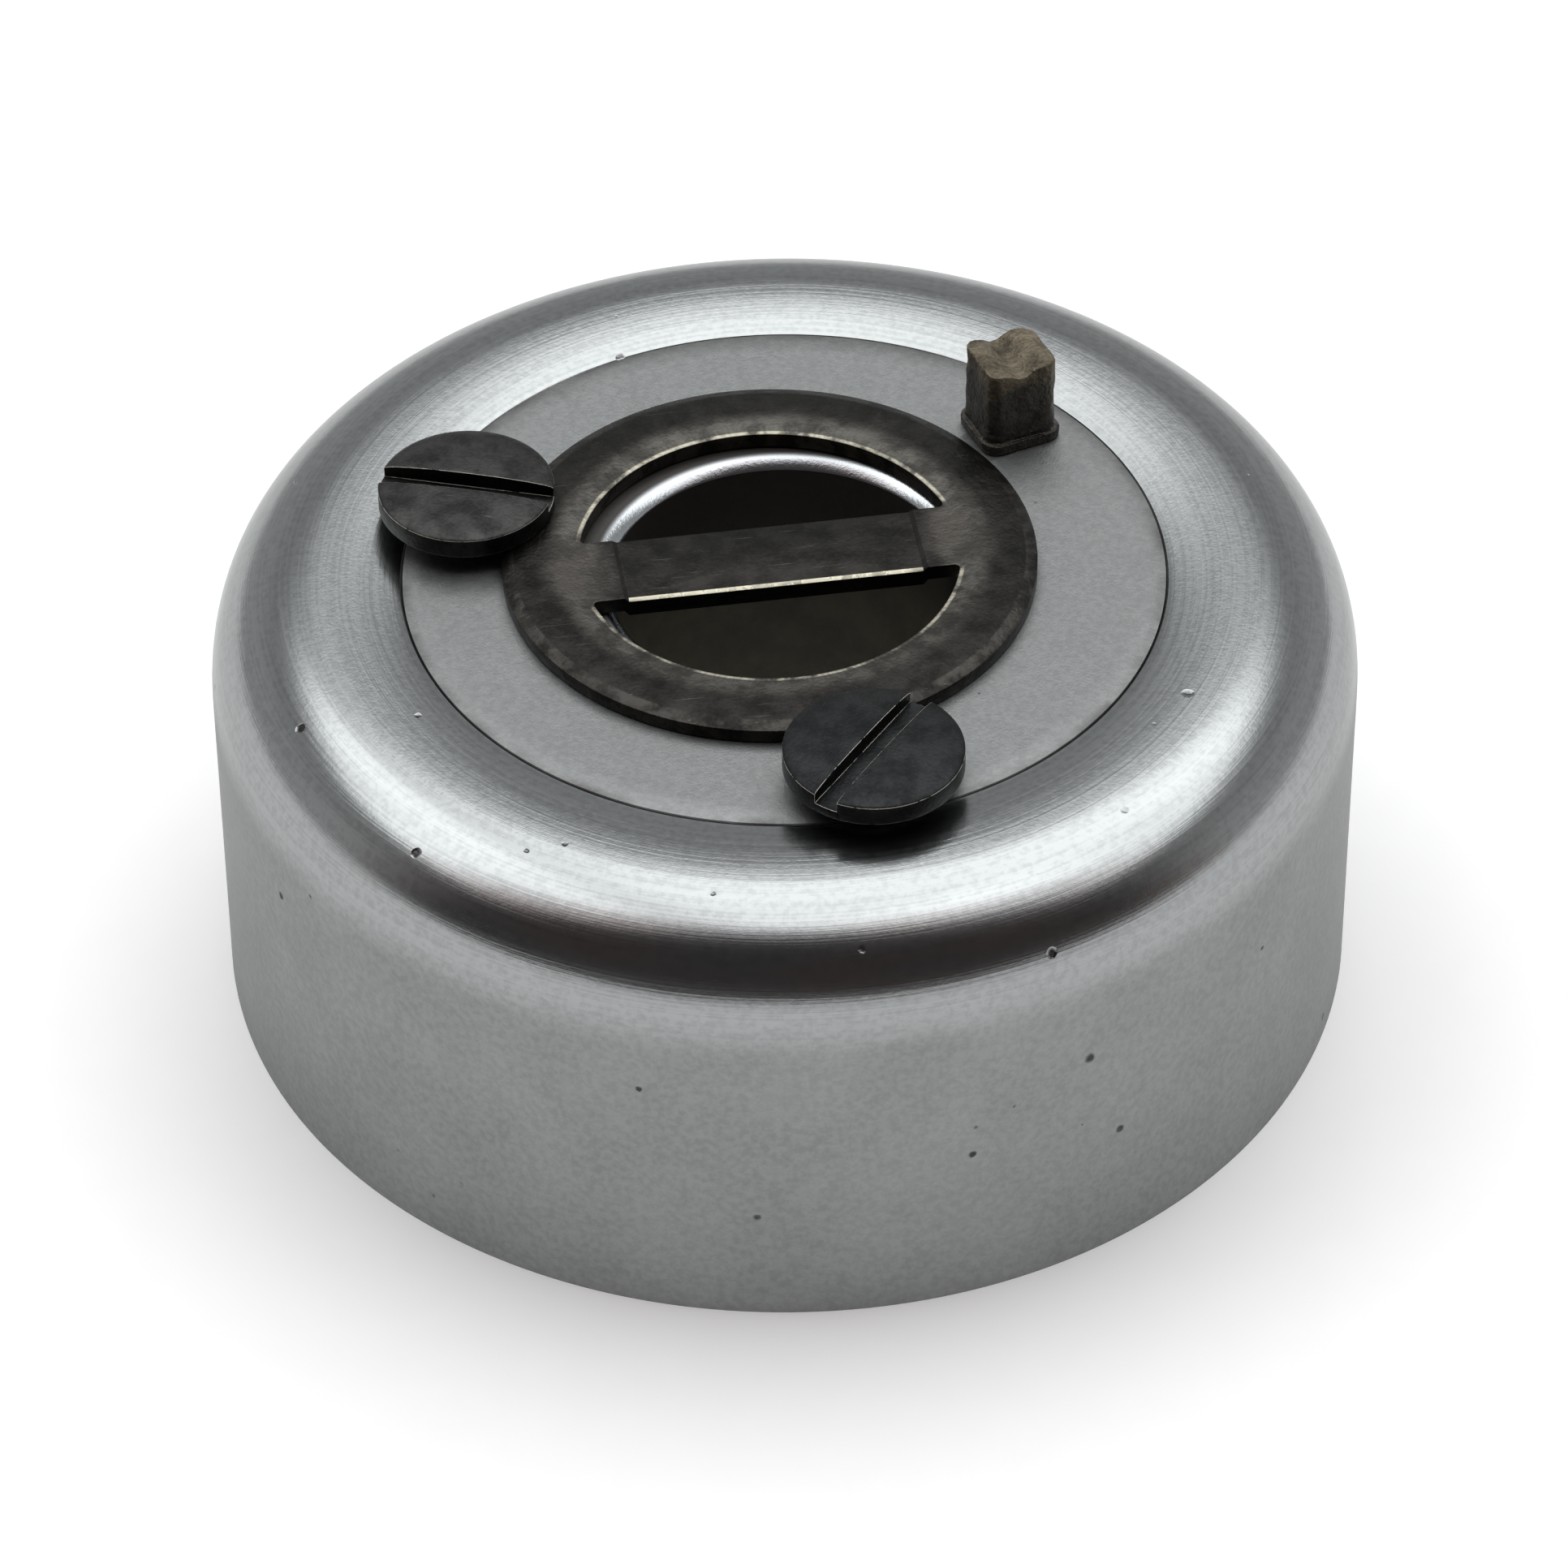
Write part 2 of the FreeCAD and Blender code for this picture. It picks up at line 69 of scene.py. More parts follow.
class Workpiece:
    """A closed piece on the bench, in millimetres, until it is finished as an object."""

    def __init__(self, name: str) -> None:
        """Starts an empty piece."""
        self.name = name
        self.mesh = bmesh.new()

    @classmethod
    def turned(cls, name: str, outline: Sequence[Point], hollow: bool = True,
               steps: int = TURN_STEPS) -> "Workpiece":
        """Turns an outline about the upright axis.

        Args:
            name: The piece's name.
            outline: (radius, height) points; a solid piece starts and ends on the axis.
            hollow: True if the outline closes on itself away from the axis.
            steps: Divisions of the full turn.

        Returns:
            The turned piece.
        """
        piece = cls(name)
        verts = [piece.mesh.verts.new((r, 0.0, z)) for r, z in outline]
        pairs = list(zip(verts, verts[1:]))
        if hollow:
            pairs.append((verts[-1], verts[0]))
        edges = [piece.mesh.edges.new(pair) for pair in pairs]
        bmesh.ops.spin(piece.mesh, geom=verts + edges, cent=(0, 0, 0), axis=(0, 0, 1),
                       angle=math.tau, steps=steps, use_merge=True)
        return piece.cleaned()

    @classmethod
    def swept(cls, name: str, section: Sequence[Point], first: float, last: float,
              steps: int = 48) -> "Workpiece":
        """Sweeps a (radius, height) section round the axis between two angles in degrees.

        Args:
            name: The piece's name.
            section: (radius, height) points of the section.
            first: Angle that the sweep starts at.
            last: Angle that it ends at.
            steps: Divisions of the sweep.

        Returns:
            The swept piece.
        """
        piece = cls(name)
        verts = [piece.mesh.verts.new((r, 0.0, z)) for r, z in section]
        edges = [piece.mesh.edges.new(pair) for pair in zip(verts, verts[1:] + verts[:1])]
        bmesh.ops.spin(piece.mesh, geom=verts + edges, cent=(0, 0, 0), axis=(0, 0, 1),
                       angle=math.radians(last - first), steps=steps)
        bmesh.ops.holes_fill(piece.mesh, edges=piece.mesh.edges, sides=len(section))
        return piece.cleaned().spun(first)

    @classmethod
    def prism(cls, name: str, outline: Sequence[Vector], run: Vector) -> "Workpiece":
        """Extrudes a flat outline along run.

        Args:
            name: The piece's name.
            outline: Points of the flat outline.
            run: Way and length of the extrusion.

        Returns:
            The prism.
        """
        piece = cls(name)
        face = piece.mesh.faces.new([piece.mesh.verts.new(p) for p in outline])
        made = bmesh.ops.extrude_face_region(piece.mesh, geom=[face], use_keep_orig=True)
        moved = [v for v in made["geom"] if isinstance(v, bmesh.types.BMVert)]
        bmesh.ops.translate(piece.mesh, verts=moved, vec=run)
        return piece.cleaned()

    @classmethod
    def block(cls, name: str, size: Vector, centre: Vector) -> "Workpiece":
        """Makes a rectangular block.

        Args:
            name: The piece's name.
            size: Its length, width and height.
            centre: Its middle.

        Returns:
            The block.
        """
        piece = cls(name)
        bmesh.ops.create_cube(piece.mesh, size=1.0, matrix=Matrix.Translation(centre) @ Matrix.Diagonal(
            size.to_4d()))
        return piece

    @classmethod
    def rod(cls, name: str, radius: float, start: Vector, end: Vector,
            segments: int = 64) -> "Workpiece":
        """Makes a round rod between two points.

        Args:
            name: The piece's name.
            radius: Its radius.
            start: Middle of its first end.
            end: Middle of its other end.
            segments: Sides of its round.

        Returns:
            The rod.
        """
        piece = cls(name)
        along = end - start
        place = Matrix.Translation((start + end) / 2) @ along.to_track_quat("Z", "Y").to_matrix().to_4x4()
        bmesh.ops.create_cone(piece.mesh, cap_ends=True, segments=segments, radius1=radius,
                              radius2=radius, depth=along.length, matrix=place)
        return piece

    def cleaned(self) -> "Workpiece":
        """Merges doubled points and turns every face outwards.

        Returns:
            This piece.
        """
        bmesh.ops.remove_doubles(self.mesh, verts=self.mesh.verts, dist=MERGE_WITHIN)
        bmesh.ops.dissolve_degenerate(self.mesh, dist=MERGE_WITHIN, edges=self.mesh.edges)
        bmesh.ops.recalc_face_normals(self.mesh, faces=self.mesh.faces)
        return self

    def spun(self, degrees: float) -> "Workpiece":
        """Turns the piece about the upright axis."""
        bmesh.ops.rotate(self.mesh, verts=self.mesh.verts, cent=(0, 0, 0),
                         matrix=Matrix.Rotation(math.radians(degrees), 3, "Z"))
        return self

    def shifted(self, x: float, y: float, z: float = 0.0) -> "Workpiece":
        """Moves the piece."""
        bmesh.ops.translate(self.mesh, verts=self.mesh.verts, vec=(x, y, z))
        return self

    def worked(self, tools: Iterable["Workpiece"], how: Joining = Joining.CUT_AWAY) -> "Workpiece":
        """Cuts away or welds on other pieces, which are used up.

        Args:
            tools: The cutters, or the pieces to weld on.
            how: Which of the two.

        Returns:
            This piece.
        """
        for tool in tools:
            base, other = self._loose(), tool._loose()
            step = base.modifiers.new("step", "BOOLEAN")
            step.operation = how.value
            step.solver = "EXACT"
            step.object = other
            graph = bpy.context.evaluated_depsgraph_get()
            result = bpy.data.meshes.new_from_object(base.evaluated_get(graph))
            self.mesh.free()
            self.mesh = bmesh.new()
            self.mesh.from_mesh(result)
            bpy.data.meshes.remove(result)
            for used in (base, other):
                data = used.data
                bpy.data.objects.remove(used)
                bpy.data.meshes.remove(data)
        bmesh.ops.remove_doubles(self.mesh, verts=self.mesh.verts, dist=MERGE_WITHIN)
        bmesh.ops.dissolve_degenerate(self.mesh, dist=MERGE_WITHIN, edges=self.mesh.edges)
        return self

    def _loose(self) -> bpy.types.Object:
        """Gives the piece as a plain object in the scene.

        Returns:
            The object, linked to the scene.
        """
        data = bpy.data.meshes.new(self.name)
        self.mesh.to_mesh(data)
        loose = bpy.data.objects.new(self.name, data)
        bpy.context.scene.collection.objects.link(loose)
        bpy.context.view_layer.update()
        return loose

    def rounded(self, width: float, segments: int = 2, sharper_than: float = 28.0,
                which: Callable[[bmesh.types.BMEdge], bool] | None = None) -> "Workpiece":
        """Rounds sharp edges over and marks the new faces as worn.

        Args:
            width: How far the rounding reaches from the edge.
            segments: Steps across the rounding.
            sharper_than: Least angle between the two faces, in degrees.
            which: A further test that an edge has to pass.

        Returns:
            This piece.
        """
        wear = self.mesh.faces.layers.float.get("wear") or self.mesh.faces.layers.float.new("wear")
        self.mesh.normal_update()
        least = math.radians(sharper_than)
        edges = [e for e in self.mesh.edges
                 if len(e.link_faces) == 2 and e.calc_face_angle(0.0) > least
                 and (which is None or which(e))]
        made = bmesh.ops.bevel(self.mesh, geom=edges, offset=width, offset_type="OFFSET",
                               segments=segments, profile=0.5, affect="EDGES",
                               clamp_overlap=True, material=-1)
        for face in made["faces"]:
            face[wear] = 1.0
        return self

    def finished(self, node: str, body: str, slot: str,
                 material: bpy.types.Material) -> bpy.types.Object:
        """Makes the object that stands for a CAD node.

        Args:
            node: The CAD node that it replaces.
            body: The CAD body that it rides on.
            slot: The record's material slot; not used.
            material: Its finish.

        Returns:
            The object, in metres, at the origin.
        """
        bmesh.ops.scale(self.mesh, verts=self.mesh.verts, vec=(MM, MM, MM))
        data = bpy.data.meshes.new(self.name)
        self.mesh.to_mesh(data)
        self.mesh.free()
        data.polygons.foreach_set("use_smooth", [True] * len(data.polygons))
        data.set_sharp_from_angle(angle=math.radians(SMOOTH_BELOW))
        data.materials.append(material)
        piece = bpy.data.objects.new(self.name, data)
        bpy.context.scene.collection.objects.link(piece)
        flat = piece.modifiers.new("flat_faces_stay_flat", "WEIGHTED_NORMAL")
        flat.keep_sharp = True
        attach(piece, body)
        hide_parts(node)
        LOG.info("%s: %d faces", self.name, len(data.polygons))
        return piece


# ---- node recipes -------------------------------------------------------------
Socket = bpy.types.NodeSocket
Value = float | Socket


class Recipe:
    """Writes a node tree, one short call per node."""

    def __init__(self, tree: bpy.types.NodeTree) -> None:
        """Takes the tree to write in."""
        self.tree = tree

    def add(self, kind: str, settings: dict[str, object] | None = None,
            **inputs: object) -> bpy.types.Node:
        """Adds a node.

        Args:
            kind: The node's type name.
            settings: Its properties.
            **inputs: Its inputs, by name with _ for a space, or i0, i1 for a place in the list.

        Returns:
            The node.
        """
        node = self.tree.nodes.new(kind)
        for key, value in (settings or {}).items():
            setattr(node, key, value)
        for key, value in inputs.items():
            place = key[1:]
            slot = node.inputs[int(place) if key[0] == "i" and place.isdigit() else key.replace("_", " ")]
            if isinstance(value, bpy.types.NodeSocket):
                self.tree.links.new(value, slot)
            else:
                slot.default_value = value
        return node

    def math(self, operation: str, a: Value, b: Value = 0.0, clamp: bool = False) -> Socket:
        """One sum on numbers."""
        return self.add("ShaderNodeMath", {"operation": operation, "use_clamp": clamp},
                        i0=a, i1=b).outputs[0]

    def vector(self, operation: str, a: object, b: object = (0.0, 0.0, 0.0)) -> Socket:
        """One sum on vectors.

        Args:
            operation: The node's operation.
            a: The first vector.
            b: The second vector, or the factor for SCALE.

        Returns:
            The result's socket.
        """
        node = self.add("ShaderNodeVectorMath", {"operation": operation}, i0=a)
        if operation == "SCALE":
            node.inputs["Scale"].default_value = b
        elif isinstance(b, bpy.types.NodeSocket):
            self.tree.links.new(b, node.inputs[1])
        else:
            node.inputs[1].default_value = b
        return node.outputs[0]

    def span(self, value: Value, low: Value, high: Value, to_low: float = 0.0, to_high: float = 1.0,
             smooth: bool = True) -> Socket:
        """Maps a value from one range to another, clamped."""
        kind = "SMOOTHSTEP" if smooth else "LINEAR"
        return self.add("ShaderNodeMapRange", {"interpolation_type": kind}, Value=value, From_Min=low,
                        From_Max=high, To_Min=to_low, To_Max=to_high).outputs[0]

    def mix(self, share: Value, a: object, b: object) -> Socket:
        """Mixes two colours.

        Args:
            share: 0 gives a, and 1 gives b.
            a: The first colour.
            b: The second colour.

        Returns:
            The mixed colour's socket.
        """
        node = self.add("ShaderNodeMix", {"data_type": "RGBA"}, i0=share)
        for place, value in ((6, a), (7, b)):
            if isinstance(value, bpy.types.NodeSocket):
                self.tree.links.new(value, node.inputs[place])
            else:
                node.inputs[place].default_value = (*value, 1.0)
        return node.outputs[2]

    def noise(self, place: Socket, scale: Value, detail: float = 3.0, roughness: float = 0.55) -> Socket:
        """Soft noise from 0 to 1."""
        return self.add("ShaderNodeTexNoise", Vector=place, Scale=scale, Detail=detail,
                        Roughness=roughness).outputs["Fac"]

    def group(self, tree: bpy.types.NodeTree, **inputs: object) -> bpy.types.Node:
        """Places a shared effect."""
        return self.add("ShaderNodeGroup", {"node_tree": tree}, **inputs)


class Effect:
    """A shared effect: a node group with named inputs that gives one mask or value."""

    def __init__(self, name: str, inputs: dict[str, float | None], output: str) -> None:
        """Starts the group.

        Args:
            name: The effect's name.
            inputs: Its inputs, with their first values; None is a place in millimetres.
            output: The name of what it gives.
        """
        self.tree = bpy.data.node_groups.new(name, "ShaderNodeTree")
        for key, value in inputs.items():
            kind = "NodeSocketVector" if value is None else "NodeSocketFloat"
            made = self.tree.interface.new_socket(name=key, in_out="INPUT", socket_type=kind)
            if value is not None:
                made.default_value = value
        self.tree.interface.new_socket(name=output, in_out="OUTPUT", socket_type="NodeSocketFloat")
        self.recipe = Recipe(self.tree)
        self.given = self.tree.nodes.new("NodeGroupInput").outputs
        self.result = self.tree.nodes.new("NodeGroupOutput").inputs[0]

    def gives(self, value: Socket) -> bpy.types.NodeTree:
        """Ends the group with its result."""
        self.tree.links.new(value, self.result)
        return self.tree


def mottle_effect() -> bpy.types.NodeTree:
    """Uneven clouds over a surface, from 0 to 1.

    Returns:
        The effect's node group.
    """
    effect = Effect("mottle", {"Place": None, "Size": 3.0}, "Value")
    r, g = effect.recipe, effect.given
    scale = r.math("DIVIDE", 1.0, g["Size"])
    return effect.gives(r.span(r.noise(g["Place"], scale, 4.0, 0.6), 0.3, 0.7))


def grain_effect() -> bpy.types.NodeTree:
    """Fine even grain, from 0 to 1.

    Returns:
        The effect's node group.
    """
    effect = Effect("grain", {"Place": None, "Size": 0.12}, "Value")
    r, g = effect.recipe, effect.given
    scale = r.math("DIVIDE", 1.0, g["Size"])
    return effect.gives(r.noise(g["Place"], scale, 2.0, 0.7))


def pits_effect() -> bpy.types.NodeTree:
    """Small dark pits: a share of the cells of a foam holds one each.

    Returns:
        The effect's node group.
    """
    effect = Effect("pits", {"Place": None, "Spacing": 1.0, "Share": 0.2, "Size": 0.12}, "Mask")
    r, g = effect.recipe, effect.given
    scale = r.math("DIVIDE", 1.0, g["Spacing"])
    wobble = r.vector("ADD", g["Place"], r.vector(
        "SCALE", r.add("ShaderNodeTexNoise", Vector=g["Place"], Scale=6.0).outputs["Color"], 0.08))
    cells = r.add("ShaderNodeTexVoronoi", Vector=wobble, Scale=scale)
    parts = r.add("ShaderNodeSeparateColor", i0=cells.outputs["Color"])
    chosen = r.math("LESS_THAN", parts.outputs[0], g["Share"])
    reach = r.math("MULTIPLY", r.math("MULTIPLY", g["Size"], scale),
                   r.math("ADD", parts.outputs[1], 0.35))
    hole = r.span(cells.outputs["Distance"], r.math("MULTIPLY", reach, 0.5), reach, 1.0, 0.0)
    return effect.gives(r.math("MULTIPLY", hole, chosen))


def turning_effect() -> bpy.types.NodeTree:
    """Lines that a lathe leaves round the upright axis, from 0 to 1.

    Returns:
        The effect's node group.
    """
    effect = Effect("turning_lines", {"Place": None, "Pitch": 0.08, "Wander": 0.02}, "Value")
    r, g = effect.recipe, effect.given
    parts = r.add("ShaderNodeSeparateXYZ", i0=g["Place"])
    flat = r.add("ShaderNodeCombineXYZ", i0=parts.outputs[0], i1=parts.outputs[1])
    radius = r.add("ShaderNodeVectorMath", {"operation": "LENGTH"}, i0=flat.outputs[0]).outputs["Value"]
    along = r.math("SUBTRACT", radius, parts.outputs[2])
    stray = r.math("MULTIPLY", r.noise(g["Place"], 0.25, 2.0), g["Wander"])
    along = r.math("DIVIDE", r.math("ADD", along, stray), g["Pitch"])
    side = r.add("ShaderNodeCombineXYZ", i0=along, i1=r.math("MULTIPLY", parts.outputs[0], 0.06),
                 i2=r.math("MULTIPLY", parts.outputs[1], 0.06))
    return effect.gives(r.noise(side.outputs[0], 1.0, 3.0, 0.65))


def scratch_effect() -> bpy.types.NodeTree:
    """Thin short scratches that run along X, from 0 to 1.

    Returns:
        The effect's node group.
    """
    effect = Effect("scratches", {"Place": None, "Length": 2.0, "Width": 0.05, "Share": 0.3}, "Mask")
    r, g = effect.recipe, effect.given
    parts = r.add("ShaderNodeSeparateXYZ", i0=g["Place"])
    stretched = r.add("ShaderNodeCombineXYZ", i0=r.math("DIVIDE", parts.outputs[0], g["Length"]),
                      i1=r.math("DIVIDE", parts.outputs[1], g["Width"]),
                      i2=r.math("DIVIDE", parts.outputs[2], g["Width"]))
    lines = r.noise(stretched.outputs[0], 1.0, 2.0, 0.5)
    least = r.math("SUBTRACT", 0.75, r.math("MULTIPLY", g["Share"], 0.25))
    return effect.gives(r.span(lines, least, r.math("ADD", least, 0.06)))


def worn_effect() -> bpy.types.NodeTree:
    """Where the dark skin is rubbed off an edge: broken up along its length.

    Returns:
        The effect's node group.
    """
    effect = Effect("worn_edge", {"Place": None, "Wear": 0.0, "Cover": 0.5}, "Mask")
    r, g = effect.recipe, effect.given
    broken = r.noise(g["Place"], 2.2, 4.0, 0.7)
    least = r.math("SUBTRACT", 0.78, r.math("MULTIPLY", g["Cover"], 0.55))
    return effect.gives(r.math("MULTIPLY", g["Wear"], r.span(broken, least, r.math("ADD", least, 0.12))))


class Effects:
    """The shared effects, built once."""

    def __init__(self) -> None:
        """Builds every group."""
        self.mottle = mottle_effect()
        self.grain = grain_effect()
        self.pits = pits_effect()
        self.turning = turning_effect()
        self.scratches = scratch_effect()
        self.worn = worn_effect()


class Coat:
    """One material in the making: its tree, its place in millimetres and its shader."""

    def __init__(self, name: str, effects: Effects, turn: float = 0.0,
                 centre: Point = (0.0, 0.0)) -> None:
        """Starts the material.

        Args:
            name: Its name.
            effects: The shared effects.
            turn: Direction of its own X, in degrees.
            centre: Where its own origin is, in millimetres.
        """
        self.material = bpy.data.materials.new(name)
        self.material.use_nodes = True
        self.material.node_tree.nodes.clear()
        self.recipe = Recipe(self.material.node_tree)
        self.effects = effects
        r = self.recipe
        spot = r.add("ShaderNodeTexCoord").outputs["Object"]
        placed = r.add("ShaderNodeMapping", {"vector_type": "TEXTURE"}, Vector=spot)
        placed.inputs["Location"].default_value = (centre[0] * MM, centre[1] * MM, 0.0)
        placed.inputs["Rotation"].default_value = (0.0, 0.0, math.radians(turn))
        self.place = r.vector("SCALE", placed.outputs[0], 1 / MM)
        self.wear = r.add("ShaderNodeAttribute", {"attribute_name": "wear"}).outputs["Fac"]
        axes = r.add("ShaderNodeSeparateXYZ", i0=self.place).outputs
        self.x, self.y, self.z = axes[0], axes[1], axes[2]
        flat = r.add("ShaderNodeCombineXYZ", i0=self.x, i1=self.y).outputs[0]
        self.radius = r.add("ShaderNodeVectorMath", {"operation": "LENGTH"}, i0=flat).outputs["Value"]

    def effect(self, tree: bpy.types.NodeTree, **inputs: object) -> Socket:
        """Places a shared effect on this material's own place."""
        return self.recipe.group(tree, Place=self.place, **inputs).outputs[0]

    def closed(self, colour: Socket, roughness: Value, metallic: Value, bumps: Sequence[tuple[Socket, float]],
               specular: float = 0.5, edge_shine: float = 1.0) -> bpy.types.Material:
        """Ends the material.

        Args:
            colour: Its base colour.
            roughness: Its roughness.
            metallic: How metallic it is.
            bumps: (height from 0 to 1, depth in millimetres) pairs, laid one on another.
            specular: Specular level.
            edge_shine: How much of the full shine is left at a glancing view.

        Returns:
            The finished material.
        """
        r = self.recipe
        normal: Socket | None = None
        for height, depth in bumps:
            bump = r.add("ShaderNodeBump", Height=height, Strength=1.0, Distance=depth * MM)
            if normal is not None:
                r.tree.links.new(normal, bump.inputs["Normal"])
            normal = bump.outputs[0]
        shader = r.add("ShaderNodeBsdfPrincipled", Base_Color=colour, Roughness=roughness,
                       Metallic=metallic)
        shader.inputs["Specular IOR Level"].default_value = specular
        shader.inputs["Specular Tint"].default_value = (edge_shine, edge_shine, edge_shine, 1.0)
        if normal is not None:
            r.tree.links.new(normal, shader.inputs["Normal"])
        r.add("ShaderNodeOutputMaterial", Surface=shader.outputs[0])
        return self.material


# ---- finishes -----------------------------------------------------------------
@dataclass(frozen=True)
class ShellFinish:
    """Satin zinc-grey wall that turns to a polished, line-turned crown."""

    wall: Colour = (0.235, 0.242, 0.243)
    wall_light: Colour = (0.340, 0.350, 0.351)
    crown: Colour = (0.345, 0.356, 0.360)
    crown_dark: Colour = (0.285, 0.294, 0.297)
    pit: Colour = (0.035, 0.032, 0.03)
    crown_foot: float = 8.4
    crown_shoulder: float = 10.0
    edge_shine: float = 0.8
    wall_roughness: float = 0.44
    crown_roughness: float = 0.15

    def build(self, effects: Effects) -> bpy.types.Material:
        """Builds the material.

        Args:
            effects: The shared effects.

        Returns:
            The material.
        """
        coat = Coat("zinc_case", effects)
        r = coat.recipe
        on_crown = r.span(coat.z, self.crown_foot, self.crown_shoulder)
        clouds = coat.effect(effects.mottle, Size=2.6)
        specks = coat.effect(effects.mottle, Size=0.20)
        grain = coat.effect(effects.grain, Size=0.09)
        lines = coat.effect(effects.turning, Pitch=0.09, Wander=0.05)
        broad = coat.effect(effects.turning, Pitch=0.35, Wander=0.2)
        tone = r.math("ADD", r.math("MULTIPLY", clouds, 0.35), r.math("MULTIPLY", specks, 0.65))
        wall = r.mix(tone, self.wall, self.wall_light)
        satin_spots = r.math("ADD", r.math("MULTIPLY", lines, 0.75), r.math("MULTIPLY", specks, 0.25))
        crown = r.mix(r.span(satin_spots, 0.30, 0.62), self.crown_dark, self.crown)
        colour = r.mix(on_crown, wall, crown)
        small = coat.effect(effects.pits, Spacing=0.9, Share=0.22, Size=0.12)
        large = coat.effect(effects.pits, Spacing=2.4, Share=0.30, Size=0.17)
        where = r.span(coat.effect(effects.mottle, Size=6.0), 0.42, 0.7)
        pits = r.math("MAXIMUM", r.math("MULTIPLY", small, where), large)
        colour = r.mix(r.math("MULTIPLY", pits, 0.9), colour, self.pit)
        rough = r.math("ADD", self.wall_roughness, r.math("MULTIPLY", tone, 0.10))
        polished = r.math("ADD", self.crown_roughness, r.math("MULTIPLY", broad, 0.10))
        roughness = r.add("ShaderNodeMix", {"data_type": "FLOAT"}, i0=on_crown, i2=rough,
                          i3=polished).outputs[0]
        line_depth = r.math("MULTIPLY", lines, r.math("ADD", r.math("MULTIPLY", on_crown, 0.85), 0.15))
        satin = r.math("MULTIPLY", grain, r.math("SUBTRACT", 1.0, r.math("MULTIPLY", on_crown, 0.75)))
        hollow = r.math("SUBTRACT", 1.0, pits)
        return coat.closed(colour, roughness, 1.0, [(line_depth, 0.0034), (satin, 0.008), (hollow, 0.03)],
                           edge_shine=self.edge_shine)


@dataclass(frozen=True)
class PlateFinish:
    """Matt light grey end plate with faint turning lines and grime in its corner."""

    dark: Colour = (0.205, 0.209, 0.210)
    light: Colour = (0.265, 0.271, 0.272)
    grime: Colour = (0.06, 0.055, 0.05)
    seam_dirt: float = 9.25
    roughness: float = 0.50

    def build(self, effects: Effects) -> bpy.types.Material:
        """Builds the material.

        Args:
            effects: The shared effects.

        Returns:
            The material.
        """
        coat = Coat("matt_plate", effects)
        r = coat.recipe
        clouds = coat.effect(effects.mottle, Size=1.6)
        grain = coat.effect(effects.grain, Size=0.07)
        lines = coat.effect(effects.turning, Pitch=0.10, Wander=0.05)
        speckle = coat.effect(effects.mottle, Size=0.16)
        tone = r.math("ADD", r.math("MULTIPLY", clouds, 0.3), r.math("MULTIPLY", speckle, 0.7))
        colour = r.mix(tone, self.dark, self.light)
        pits = coat.effect(effects.pits, Spacing=1.6, Share=0.10, Size=0.13)
        fine = coat.effect(effects.pits, Spacing=0.7, Share=0.10, Size=0.07)
        colour = r.mix(r.math("MAXIMUM", pits, fine), colour, self.grime)
        corner = r.math("MULTIPLY", r.span(coat.radius, self.seam_dirt, self.seam_dirt + 0.35), clouds)
        colour = r.mix(r.math("MULTIPLY", corner, 0.6), colour, self.grime)
        rough = r.math("ADD", self.roughness - 0.05, r.math("MULTIPLY", clouds, 0.1))
        return coat.closed(colour, rough, 1.0, [(lines, 0.002), (grain, 0.008)])


@dataclass(frozen=True)
class TubeFinish:
    """Polished mouth over a bore dark with old oil; painted shade turns the bore black towards its top and
    darkens the lip's outer ring, under the disc.
    """

    polished: Colour = (0.46, 0.48, 0.50)
    oiled: Colour = (0.13, 0.12, 0.085)
    # Black of the bore: random dark clouds, and painted shade towards the bore's top and on the lip's outer
    # ring.
    black_and_painted_shade: Colour = (0.034, 0.032, 0.028)
    mouth: float = 11.45
    # Radius span over which the lip fades from polished to the painted shade of the disc.
    lip_shade_span: Point = (4.66, 4.84)

    def build(self, effects: Effects) -> bpy.types.Material:
        """Builds the material.

        Args:
            effects: The shared effects.

        Returns:
            The material.
        """
        coat = Coat("polished_tube", effects)
        r = coat.recipe
        # Painted shade: beyond the given radius span the lip takes the bore's dark colour as the disc's
        # shadow; only its inner ring gets the polished colour.
        bright = r.math("MULTIPLY", r.span(coat.z, self.mouth - 0.02, self.mouth + 0.02),
                        r.span(coat.radius, *self.lip_shade_span, 1.0, 0.0))
        # Painted shade: the bore turns black towards its top, where the disc shades it, and keeps its dark
        # oiled colour deeper down.
        depth = r.span(coat.z, 7.0, 10.5)
        clouds = coat.effect(effects.mottle, Size=1.2)
        grain = coat.effect(effects.grain, Size=0.08)
        bore = r.mix(r.math("MULTIPLY", clouds, 0.4), r.mix(depth, self.oiled, self.black_and_painted_shade), self.black_and_painted_shade)
        colour = r.mix(bright, bore, self.polished)
        rough = r.math("SUBTRACT", 0.52, r.math("MULTIPLY", bright, 0.30))
        metallic = r.math("ADD", 0.25, r.math("MULTIPLY", bright, 0.75))
        return coat.closed(colour, rough, metallic, [(grain, 0.006)])


